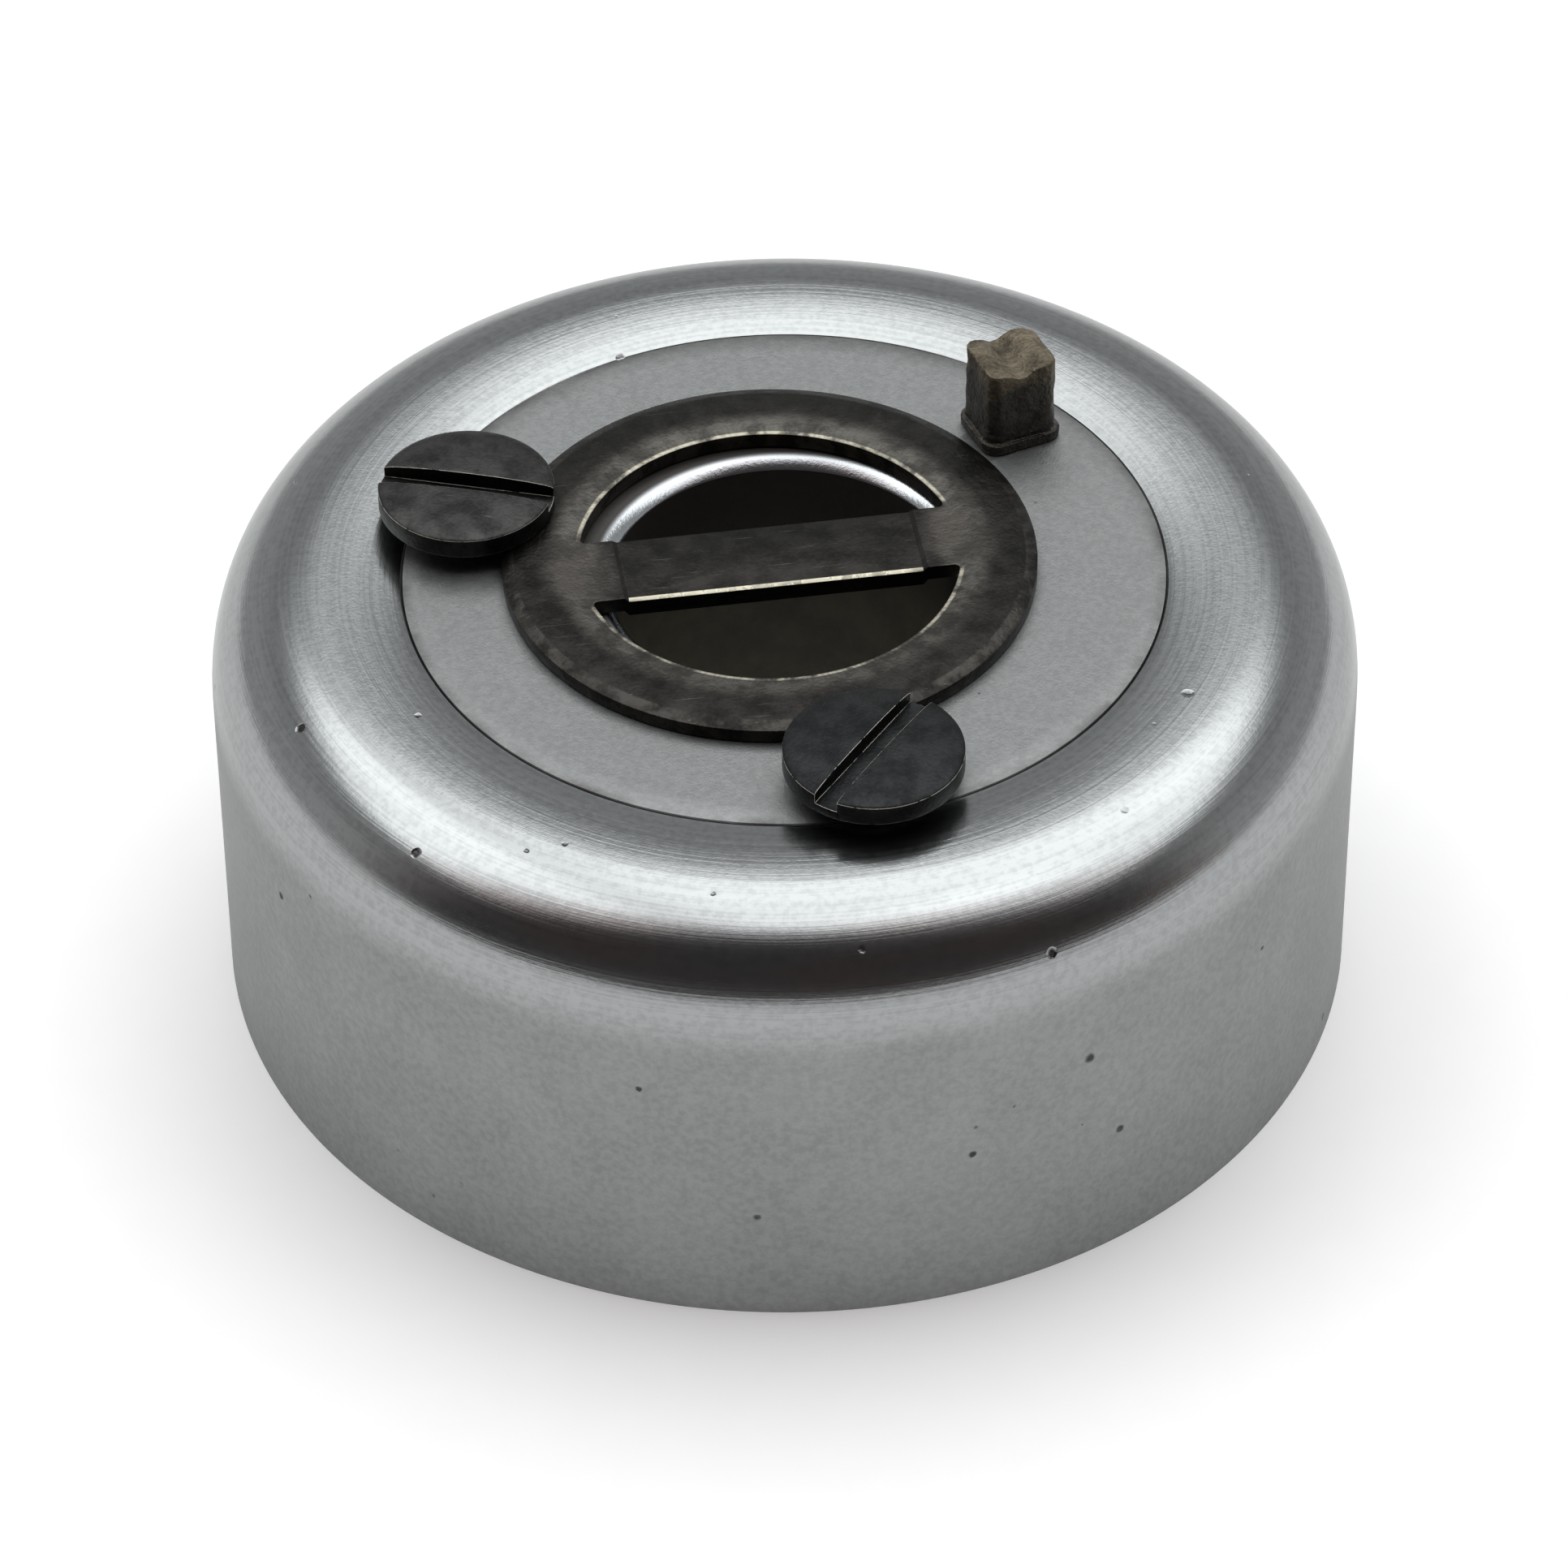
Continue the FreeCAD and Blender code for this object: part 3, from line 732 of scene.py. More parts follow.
@dataclass(frozen=True)
class DarkSteelFinish:
    """Blackened steel, rubbed bright along its edges and lightly scratched."""

    name: str
    dark: Colour
    light: Colour
    rubbed: Colour
    cover: float = 0.5
    roughness: float = 0.42
    turn: float = 0.0
    centre: Point = (0.0, 0.0)
    grain_depth: float = 0.012
    rubbed_dullness: float = 0.55
    scratch_share: float = 0.18
    scratch_strength: float = 0.07

    def skin(self, coat: Coat) -> tuple[Socket, Socket]:
        """Gives the dark skin's colour and the mask of rubbed metal.

        Args:
            coat: The material in the making.

        Returns:
            The skin's colour and the rubbed mask.
        """
        r, effects = coat.recipe, coat.effects
        clouds = coat.effect(effects.mottle, Size=0.8)
        grain = coat.effect(effects.grain, Size=0.10)
        tone = r.math("ADD", r.math("MULTIPLY", clouds, 0.6), r.math("MULTIPLY", grain, 0.4))
        scratched = coat.effect(effects.scratches, Length=1.6, Width=0.05, Share=self.scratch_share)
        edge = coat.effect(effects.worn, Wear=coat.wear, Cover=self.cover)
        rubbed = r.math("MAXIMUM", edge, r.math("MULTIPLY", scratched, self.scratch_strength))
        return r.mix(tone, self.dark, self.light), rubbed

    def build(self, effects: Effects) -> bpy.types.Material:
        """Builds the material.

        Args:
            effects: The shared effects.

        Returns:
            The material.
        """
        coat = Coat(self.name, effects, self.turn, self.centre)
        r = coat.recipe
        skin, rubbed = self.skin(coat)
        colour = r.mix(rubbed, skin, self.rubbed)
        grain = coat.effect(effects.grain, Size=0.09)
        rough = r.math("SUBTRACT", self.roughness, r.math("MULTIPLY", rubbed, 0.12))
        metallic = r.math("SUBTRACT", 1.0, r.math("MULTIPLY", rubbed, self.rubbed_dullness))
        return coat.closed(colour, rough, metallic, [(grain, self.grain_depth)])


@dataclass(frozen=True)
class DiscFinish(DarkSteelFinish):
    """Dark disc, worn paler at the crossbar's ends, with a painted sheen on the land round the windows and a
    painted highlight on its outer bevel.
    """

    # Lighter colour of the painted sheen on the land and of the painted highlight on the outer bevel.
    land: Colour = (0.105, 0.099, 0.089)
    patch: Colour = (0.074, 0.067, 0.061)
    land_inner: float = 4.8
    land_outer: float = 5.5
    patch_reach: float = 1.5
    # Radius where the painted highlight on the outer bevel begins.
    painted_rim_highlight: float = 6.40
    bare_dullness: float = 0.6
    window_line: float = 4.86
    line_strength: float = 0.55

    def build(self, effects: Effects) -> bpy.types.Material:
        """Builds the material.

        Args:
            effects: The shared effects.

        Returns:
            The material.
        """
        coat = Coat(self.name, effects, self.turn, self.centre)
        r = coat.recipe
        skin, rubbed = self.skin(coat)
        breakup = coat.effect(effects.mottle, Size=0.7)
        # Painted sheen: the land round the windows is coloured lighter, in broken patches, where the dished
        # land catches the light.
        ring = r.span(coat.radius, self.land_outer - 0.35, self.land_outer + 0.25, 1.0, 0.0)
        outside_bar = r.span(coat.radius, self.land_inner - 0.7, self.land_inner - 0.2)
        painted_land_sheen = r.math("MULTIPLY", ring, outside_bar)
        colour = r.mix(r.math("MULTIPLY", painted_land_sheen, r.span(breakup, 0.0, 1.0, 0.25, 0.9)), skin, self.land)
        across = r.math("DIVIDE", coat.y, self.patch_reach)
        along = r.math("DIVIDE", r.math("SUBTRACT", r.math("ABSOLUTE", coat.x), self.land_inner),
                       self.patch_reach * 0.75)
        far = r.math("SQRT", r.math("ADD", r.math("MULTIPLY", across, across),
                                    r.math("MULTIPLY", along, along)))
        patch = r.math("MULTIPLY", r.span(far, 0.35, 1.1, 1.0, 0.0), r.span(breakup, 0.1, 0.9, 0.35, 1.0))
        colour = r.mix(patch, colour, self.patch)
        # Painted highlight: the outer bevel is coloured lighter in broken patches, as if catching the light.
        rim = r.span(coat.radius, self.painted_rim_highlight, self.painted_rim_highlight + 0.06)
        colour = r.mix(r.math("MULTIPLY", rim, r.span(breakup, 0.2, 1.0, 0.0, 0.35)), colour, self.land)
        bare = r.math("MULTIPLY", r.math("SUBTRACT", coat.wear, 1.0, clamp=True),
                      r.span(breakup, 0.0, 0.5, 0.6, 1.0))
        off_line = r.math("ABSOLUTE", r.math("SUBTRACT", coat.radius, self.window_line))
        line = r.math("MULTIPLY", r.span(off_line, 0.02, 0.07, 1.0, 0.0), r.span(
            breakup, 0.1, 0.8, 0.05, self.line_strength))
        beyond_bar = r.span(r.math("ABSOLUTE", coat.y), 1.2, 1.5)
        bare = r.math("MAXIMUM", bare, r.math("MULTIPLY", line, beyond_bar))
        rubbed = r.math("MAXIMUM", rubbed, bare)
        colour = r.mix(rubbed, colour, self.rubbed)
        dull = r.math("MAXIMUM", r.math("MULTIPLY", rubbed, self.rubbed_dullness),
                      r.math("MULTIPLY", bare, self.bare_dullness))
        grain = coat.effect(effects.grain, Size=0.10)
        metallic = r.math("SUBTRACT", 1.0, dull)
        return coat.closed(colour, self.roughness, metallic,
                           [(breakup, 0.012), (grain, self.grain_depth)])


@dataclass(frozen=True)
class PegFinish:
    """Rough-cut lug: golden-brown broken top over dark sides."""

    top: Colour = (0.16, 0.135, 0.095)
    top_dark: Colour = (0.05, 0.04, 0.026)
    side: Colour = (0.040, 0.038, 0.032)
    side_light: Colour = (0.12, 0.112, 0.095)
    top_height: float = 13.75

    def build(self, effects: Effects) -> bpy.types.Material:
        """Builds the material.

        Args:
            effects: The shared effects.

        Returns:
            The material.
        """
        coat = Coat("peg_steel", effects)
        r = coat.recipe
        clouds = coat.effect(effects.mottle, Size=0.55)
        grain = coat.effect(effects.grain, Size=0.10)
        upper = r.span(r.math("ADD", coat.z, r.math("MULTIPLY", clouds, 0.25)), self.top_height,
                       self.top_height + 0.25)
        top = r.mix(clouds, self.top_dark, self.top)
        side = r.mix(r.math("MULTIPLY", grain, clouds), self.side, self.side_light)
        colour = r.mix(upper, side, top)
        edge = r.math("MULTIPLY", coat.effect(effects.worn, Wear=coat.wear, Cover=0.55),
                      r.span(coat.z, self.top_height - 1.0, self.top_height - 0.3))
        colour = r.mix(r.math("MULTIPLY", edge, 0.6), colour, self.top)
        return coat.closed(colour, 0.5, 0.7, [(clouds, 0.06), (grain, 0.03)])


@dataclass(frozen=True)
class BrightSteelFinish:
    """Bare turned or brushed steel."""

    name: str
    dark: Colour
    light: Colour
    roughness: float = 0.34

    def build(self, effects: Effects) -> bpy.types.Material:
        """Builds the material.

        Args:
            effects: The shared effects.

        Returns:
            The material.
        """
        coat = Coat(self.name, effects)
        r = coat.recipe
        lines = coat.effect(effects.turning, Pitch=0.06, Wander=0.03)
        clouds = coat.effect(effects.mottle, Size=2.0)
        tone = r.math("ADD", r.math("MULTIPLY", lines, 0.6), r.math("MULTIPLY", clouds, 0.4))
        colour = r.mix(tone, self.dark, self.light)
        rough = r.math("ADD", self.roughness - 0.06, r.math("MULTIPLY", clouds, 0.12))
        grain = coat.effect(effects.grain, Size=0.08)
        return coat.closed(colour, rough, 1.0, [(lines, 0.004), (grain, 0.005)])


# ---- the pieces ---------------------------------------------------------------
@dataclass
class Case:
    """The cup, its end plate and its centre tube."""

    radius: float = 14.5
    height: float = 11.75
    wall: float = 1.3
    end: float = 1.2
    seam: float = 9.6
    seam_gap: float = 0.02
    seam_edge: float = 0.05
    ledge_width: float = 0.8
    crown_line: float = 11.6
    crown_rise: float = 0.13
    crown_drop: float = 3.1
    crown_power: float = 2.3
    inner_corner: float = 1.2
    bore: float = 4.4
    tube_wall: float = 0.6
    collar: float = 0.4
    mouth: float = 0.62
    mouth_depth: float = 0.28
    foot: float = 0.5
    seat_depth: float = 0.6
    seat: tuple[float, float, float, float] = (53.52, 134.98, 3.25, 7.55)
    slit: float = 0.7
    slit_angle: float = 84.0
    eye_angle: float = 58.5
    thread_height: float = 5.4
    tapped: float = 0.8
    screw_angles: tuple[float, float] = (127.0, 105.0)
    keepers: tuple[float, float] = (164.9, -75.1)
    keeper_circle: float = 8.3
    keeper_thread: float = 1.0
    peg_centre: Point = (5.82, 5.68)
    peg_rivet: float = 0.75
    plate_lift: float = 0.02
    lift_width: float = 0.7

    def crown(self) -> list[Point]:
        """Gives the crown's outline: dished inside its highest line, rolled over outside it.

        Returns:
            (radius, height) points from the seam out to the wall.
        """
        start = self.seam + self.seam_edge
        peak = self.height + self.crown_rise
        width = self.radius - self.crown_line
        foot = peak - self.crown_drop
        dish_steps, roll_steps = 10, 40
        points = []
        for i in range(dish_steps):
            left = 1 - i / dish_steps
            points.append((self.crown_line - (self.crown_line - start) * left,
                           peak - self.crown_rise * left ** 2))
        for i in range(roll_steps + 1):
            turn = math.pi / 2 * (1 - i / roll_steps)
            across = (math.cos(turn) / width) ** self.crown_power
            reach = (across + (math.sin(turn) / self.crown_drop) ** self.crown_power)
            reach **= -1 / self.crown_power
            points.append((self.crown_line + reach * math.cos(turn), foot + reach * math.sin(turn)))
        return points

    def shell(self) -> Workpiece:
        """Builds the cup with the spring's seat, the thread slit and the tapped holes.

        Returns:
            The cup.
        """
        inner, ceiling = self.radius - self.wall, self.height - self.end
        ledge, lip = self.height - self.end / 2, self.seam + self.ledge_width
        corner = [(inner - self.inner_corner * (1 - math.cos(t)),
                   ceiling - self.inner_corner * (1 - math.sin(t)))
                  for t in (math.pi / 2 * i / 8 for i in range(9))]
        outline = self.crown() + [(self.radius, 0.0), (inner, 0.0)] + corner + [
            (lip, ceiling), (lip, ledge), (self.seam, ledge), (self.seam, self.height - self.seam_edge)]
        shell = Workpiece.turned("case_shell_finished", outline)
        first, last, low, high = self.seat
        seat_floor, beyond, inside = self.radius - self.seat_depth, self.radius + 1, inner - 1
        half = math.degrees(self.slit / 2 / self.radius)
        top = self.thread_height + self.slit / 2
        bottom = self.thread_height - self.slit / 2
        tools = [
            Workpiece.swept("seat", self.band(seat_floor, beyond, low, high), first, last, 96),
            Workpiece.swept("slit", self.band(inside, beyond, -1, top), self.slit_angle - half,
                            self.slit_angle + half, 4),
            Workpiece.swept("level_slit", self.band(inside, beyond, bottom, top), self.eye_angle,
                            self.slit_angle, 32),
            self.radial("eye", self.slit * 0.85, self.eye_angle),
        ] + [self.radial("tapped", self.tapped, angle) for angle in self.screw_angles]
        return shell.worked(tools).rounded(0.06)

    @staticmethod
    def band(inner: float, outer: float, low: float, high: float) -> list[Point]:
        """Gives a rectangular section."""
        return [(inner, low), (outer, low), (outer, high), (inner, high)]

    def radial(self, name: str, radius: float, degrees: float) -> Workpiece:
        """Gives a rod through the wall, to cut a round hole with."""
        near, far = polar(self.radius - self.wall - 1, degrees), polar(self.radius + 1, degrees)
        return Workpiece.rod(name, radius, Vector((*near, self.thread_height)),
                             Vector((*far, self.thread_height)))

    def plate(self) -> Workpiece:
        """Builds the end plate with its holes.

        Returns:
            The end plate.
        """
        ceiling = self.height - self.end
        ledge = self.height - self.end / 2 - self.seam_gap
        rim, radius = self.seam + self.ledge_width - self.seam_gap, self.seam - self.seam_gap
        hole = self.bore + self.tube_wall + self.collar + self.seam_gap
        plate = Workpiece.turned("hub_plate_finished", [
            (hole, ceiling), (rim, ceiling), (rim, ledge), (radius, ledge),
            (radius, self.height + self.plate_lift), (radius - self.lift_width, self.height),
            (hole, self.height)])
        holes = [(self.keeper_thread, polar(self.keeper_circle, a)) for a in self.keepers]
        holes.append((self.peg_rivet, self.peg_centre))
        drills = [Workpiece.rod("drill", r, Vector((*c, ceiling - 1)), Vector((*c, self.height + 1)))
                  for r, c in holes]
        return plate.worked(drills).rounded(self.seam_edge)

    def tube(self) -> Workpiece:
        """Builds the centre tube with its collar and wide mouth.

        Returns:
            The tube.
        """
        top, ceiling = self.height - self.seam_gap, self.height - self.end
        outer = self.bore + self.tube_wall
        lip = (self.mouth ** 2 + self.mouth_depth ** 2) / (2 * self.mouth_depth)
        sweep = math.asin(self.mouth / lip)
        steps = 14
        rolled = [(self.bore + self.mouth - lip * math.sin(t), top - lip * (1 - math.cos(t)))
                  for t in (sweep * i / steps for i in range(steps + 1))]
        return Workpiece.turned("hub_tube_finished", [
            (self.bore, self.foot), (outer, self.foot), (outer, ceiling), (outer + self.collar, ceiling),
            (outer + self.collar, top)] + rolled).rounded(0.04, 3, sharper_than=40)

    def build(self, effects: Effects) -> None:
        """Builds and dresses the three pieces.

        Args:
            effects: The shared effects.
        """
        self.shell().finished("case_shell", "case", "zinc_case", ShellFinish().build(effects))
        self.plate().finished("hub_plate", "case", "matt_plate", PlateFinish().build(effects))
        self.tube().finished("hub_tube", "case", "polished_tube", TubeFinish().build(effects))


@dataclass
class RetainingDisc:
    """Round plate with two half-moon windows and a joggled crossbar."""

    radius: float = 6.72
    bottom: float = 11.79
    thickness: float = 0.48
    centre: Point = (-0.36, 0.13)
    turn: float = 8.6
    window: float = 4.8
    bar: float = 2.3
    joggle: float = 0.15
    half_run: float = 3.72
    ramp: float = 0.12
    bar_edge: Point = (0.10, 0.045)
    bar_wear: float = 1.6
    edge: float = 0.045
    bevel: Point = (0.34, 0.13)
    land: float = 0.45
    dish: float = 0.08
    corner: float = 0.35

    @property
    def top(self) -> float:
        """Height of the disc's upper face."""
        return self.bottom + self.thickness

    def half_moon(self, side: int) -> Workpiece:
        """Gives the cutter of one window: a half-moon prism with rounded corners.

        Args:
            side: 1 for the back window, -1 for the front one.

        Returns:
            The cutter.
        """
        chord = self.bar / 2
        start = math.asin(chord / self.window)
        steps = 72
        rim = [start + (math.pi - 2 * start) * i / steps for i in range(steps + 1)]
        outline = [Vector((self.window * math.cos(t), self.window * math.sin(t), self.bottom - 2))
                   for t in rim]
        moon = Workpiece.prism("window", outline, Vector((0, 0, 4)))
        ends = self.window * math.cos(start)
        return moon.rounded(self.corner, 6, which=lambda e: abs(e.verts[0].co.z - e.verts[1].co.z) > 1
                            and abs(abs(e.verts[0].co.x) - ends) < 0.01).spun(0 if side > 0 else 180)

    def bend_bar(self, mesh: bmesh.types.BMesh) -> None:
        """Bends the crossbar down between two short ramps and slopes its upper front edge.

        Args:
            mesh: The disc's mesh, changed in place.
        """
        outer = self.half_run + self.ramp
        width, slope = self.bar_edge
        cuts = [((x, 0, 0), (1, 0, 0)) for x in (-outer, -self.half_run, self.half_run, outer)]
        cuts.append(((0, width - self.bar / 2, 0), (0, 1, 0)))
        for place, way in cuts:
            geom = mesh.verts[:] + mesh.edges[:] + mesh.faces[:]
            bmesh.ops.bisect_plane(mesh, geom=geom, dist=MERGE_WITHIN, plane_co=place, plane_no=way)
        middle = self.bottom + self.thickness / 2
        for vert in mesh.verts:
            if abs(vert.co.y) > self.bar / 2 + 0.01:
                continue
            share = min(1.0, max(0.0, (outer - abs(vert.co.x)) / self.ramp))
            drop = self.joggle
            if vert.co.z > middle:
                front = abs(vert.co.y + self.bar / 2) < 0.01
                drop += (slope if front else 0.0) - self.dish
            vert.co.z -= drop * share

    def on_bar_front(self, face: bmesh.types.BMFace) -> bool:
        """Tells whether a face lies on the crossbar's sloped front edge."""
        middle = face.calc_center_median()
        return (middle.z > self.bottom + self.thickness / 2 and abs(middle.x) < self.half_run
                and 0 < middle.y + self.bar / 2 < self.bar_edge[0])

    def build(self, effects: Effects) -> None:
        """Builds and dresses the disc.

        Args:
            effects: The shared effects.
        """
        inner_land = self.window + self.land
        disc = Workpiece.turned("retaining_disc_finished", [
            (0, self.bottom), (self.radius, self.bottom), (self.radius, self.top - self.bevel[1]),
            (self.radius - self.bevel[0], self.top), (inner_land, self.top),
            (self.window, self.top - self.dish), (0, self.top - self.dish)], hollow=False)
        disc.worked([self.half_moon(1), self.half_moon(-1)])
        self.bend_bar(disc.mesh)
        wear = disc.mesh.faces.layers.float["wear"]
        for face in disc.mesh.faces:
            face[wear] = self.bar_wear if self.on_bar_front(face) else 0.0
        disc.rounded(self.edge, 3).spun(self.turn).shifted(*self.centre)
        finish = DiscFinish("dark_disc", (0.008, 0.0078, 0.0075), (0.034, 0.032, 0.0295), (0.72, 0.68, 0.54),
                            turn=self.turn, centre=self.centre, cover=0.6)
        disc.finished("retaining_disc", "disc", "dark_disc", finish.build(effects))


@dataclass
class KeeperScrew:
    """Slotted screw with a low domed head."""

    node: str
    angle: float
    slot_turn: float
    circle: float = 8.3
    head: float = 2.225
    head_bottom: float = 12.31
    head_side: float = 0.5
    dome: float = 0.16
    shoulder: float = 1.1
    thread: float = 1.0
    foot: float = 10.55
    face: float = 11.75
    slot: float = 0.62
    slot_depth: float = 0.42

    def build(self, finish: DarkSteelFinish, effects: Effects) -> None:
        """Builds and dresses the screw.

        Args:
            finish: The screw's finish.
            effects: The shared effects.
        """
        edge = self.head_bottom + self.head_side
        steps = 12
        dome = [(self.head * math.cos(t), edge + self.dome * math.sin(t))
                for t in (math.pi / 2 * i / steps for i in range(steps + 1))]
        dome[-1] = (0.0, edge + self.dome)
        screw = Workpiece.turned(self.node + "_finished", [
            (0, self.foot), (self.thread, self.foot), (self.thread, self.face),
            (self.shoulder, self.face), (self.shoulder, self.head_bottom),
            (self.head, self.head_bottom)] + dome, hollow=False, steps=96)
        cutter = Workpiece.block("slot", Vector((6, self.slot, 2)),
                                 Vector((0, 0, edge + self.dome - self.slot_depth + 1)))
        screw.worked([cutter]).rounded(0.05, 3)
        x, y = polar(self.circle, self.angle)
        screw.spun(self.slot_turn).shifted(x, y)
        screw.finished(self.node, "case", "blued_screw", finish.build(effects))


@dataclass
class LocatingPeg:
    """Rough square lug with a split top on a slightly wider foot."""

    centre: Point = (5.82, 5.68)
    size: tuple[float, float, float] = (1.9, 1.75, 2.45)
    turn: float = 24.0
    face: float = 11.75
    foot: tuple[float, float, float] = (2.15, 1.95, 0.3)
    rivet: float = 0.75
    rivet_end: float = 10.55
    dip: float = 0.2
    dip_width: float = 0.28
    dip_place: float = 0.1
    rough_top: float = 0.7
    roughness: float = 0.05

    def build(self, effects: Effects) -> None:
        """Builds and dresses the peg.

        Args:
            effects: The shared effects.
        """
        length, width, height = self.size
        peg = Workpiece.block("locating_peg_finished", Vector(self.size),
                              Vector((0, 0, self.face + height / 2)))
        peg.rounded(0.35, 4, which=lambda e: abs(e.verts[0].co.z - e.verts[1].co.z) > 1)
        foot = Workpiece.block("foot", Vector(self.foot), Vector((0, 0, self.face + self.foot[2] / 2)))
        foot.rounded(0.4, 4, which=lambda e: abs(e.verts[0].co.z - e.verts[1].co.z) > 0.1)
        rivet = Workpiece.rod("rivet", self.rivet, Vector((0, 0, self.rivet_end)),
                              Vector((0, 0, self.face + 0.1)))
        peg.worked([foot, rivet], Joining.WELD).rounded(0.12, 3, sharper_than=50)
        bmesh.ops.triangulate(peg.mesh, faces=[f for f in peg.mesh.faces if len(f.verts) > 4])
        long_edges = [e for e in peg.mesh.edges if e.calc_length() > 0.25]
        bmesh.ops.subdivide_edges(peg.mesh, edges=long_edges, cuts=5, use_grid_fill=True)
        top = self.face + height
        for vert in peg.mesh.verts:
            if vert.co.z > self.face + 0.35:
                off_split = (vert.co.x + self.dip_place) / self.dip_width
                split = math.exp(-off_split ** 2) * self.dip
                near_top = max(0.0, (vert.co.z - top + self.rough_top) / self.rough_top)
                rough = noise.noise(vert.co * 1.7) * self.roughness
                vert.co.z -= (split + abs(rough)) * near_top
            if vert.co.z > self.face + 0.05:
                vert.co.x += noise.noise(vert.co * 2.3 + Vector((7, 0, 0))) * self.roughness
                vert.co.y += noise.noise(vert.co * 2.3 + Vector((0, 7, 0))) * self.roughness
        peg.spun(self.turn).shifted(*self.centre)
        peg.finished("locating_peg", "case", "peg_steel", PegFinish().build(effects))


@dataclass
class Tension:
    """The leaf spring in the wall and its two screws."""

    case_radius: float = 14.5
    seat_depth: float = 0.6
    gap: float = 0.02
    thickness: float = 0.22
    tip: float = 62.0
    root: float = 133.0
    shoulder: float = 96.0
    low: float = 3.6
    high: float = 7.2
    taper: float = 0.55
    height: float = 5.4
    hole: float = 0.9
    thread: float = 0.78
    chamber: float = 13.2
    head_gap: float = 0.03
    head_recess: float = 0.04
    slot: float = 0.35
    screws: dict[str, tuple[float, float, float, str]] = field(default_factory=lambda: {
        "tension_fixing_screw": (127.0, 1.3, 20.0, "case"),
        "tension_adjusting_screw": (105.0, 1.6, 75.0, "adjuster"),
    })

    @property
    def inner(self) -> float:
        """Radius of the leaf's inner face."""
        return self.case_radius - self.seat_depth + self.gap

    def leaf(self) -> Workpiece:
        """Builds the curved leaf, narrower towards its tip.

        Returns:
            The leaf.
        """
        outer = self.inner + self.thickness
        leaf = Workpiece.swept("tension_spring_finished", Case.band(self.inner, outer, self.low, self.high),
                               self.tip, self.root, 112)
        waste = [(self.low - 1, self.low + self.taper), (self.high - self.taper, self.high + 1)]
        leaf.worked(Workpiece.swept("waste", Case.band(self.inner - 1, outer + 1, low, high),
                                    self.tip - 2, self.shoulder, 40) for low, high in waste)
        leaf.rounded(0.25, 5, sharper_than=60, which=self.is_corner)
        holes = []
        for degrees, *_ in self.screws.values():
            near, far = polar(self.inner - 1, degrees), polar(outer + 1, degrees)
            holes.append(Workpiece.rod("hole", self.hole, Vector((*near, self.height)),
                                       Vector((*far, self.height)), 48))
        return leaf.worked(holes).rounded(0.03, 2)

    def is_corner(self, edge: bmesh.types.BMEdge) -> bool:
        """Tells whether an edge crosses the leaf's thickness at one of its corners.

        Args:
            edge: The edge to test.

        Returns:
            True if it does.
        """
        a, b = edge.verts
        through = abs(a.co.xy.length - b.co.xy.length)
        return through > self.thickness * 0.9 and abs(a.co.z - b.co.z) < 1e-3

    def screw(self, name: str, head: float, degrees: float, slot_turn: float) -> Workpiece:
        """Builds a small slotted screw that points out of the wall.

        Args:
            name: The CAD node's name.
            head: The head's radius.
            degrees: Its place round the wall.
            slot_turn: The slot's direction.

        Returns:
            The screw, in its place.
        """
        head_in = self.inner + self.thickness + self.head_gap - self.chamber
        head_out = self.case_radius - self.head_recess - self.chamber
        screw = Workpiece.turned(name + "_finished", [
            (0, 0), (self.thread, 0), (self.thread, head_in), (head, head_in), (head, head_out),
            (0, head_out)], hollow=False, steps=64)
        slot = Workpiece.block("slot", Vector((4, self.slot, 1)), Vector((0, 0, head_out + 0.3)))
        screw.worked([slot]).rounded(0.045, 3).spun(slot_turn)
        lie_down = Matrix.Rotation(math.radians(degrees), 4, "Z") @ Matrix.Translation(
            (self.chamber, 0, self.height)) @ Matrix.Rotation(math.pi / 2, 4, "Y")
        bmesh.ops.transform(screw.mesh, matrix=lie_down, verts=screw.mesh.verts)
        return screw

    def build(self, effects: Effects) -> None:
        """Builds and dresses the leaf and the screws.

        Args:
            effects: The shared effects.
        """
        spring = BrightSteelFinish("spring_steel", (0.33, 0.33, 0.32), (0.50, 0.50, 0.49)).build(effects)
        self.leaf().finished("tension_spring", "case", "spring_steel", spring)
        dark = DarkSteelFinish("small_screw", (0.05, 0.05, 0.053), (0.13, 0.13, 0.135),
                               (0.55, 0.53, 0.50), cover=0.7).build(effects)
        for name, (degrees, head, slot_turn, body) in self.screws.items():
            self.screw(name, head, degrees, slot_turn).finished(name, body, "small_screw", dark)
        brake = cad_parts["brake_spring"]
        brake.data.materials.clear()
        brake.data.materials.append(spring)


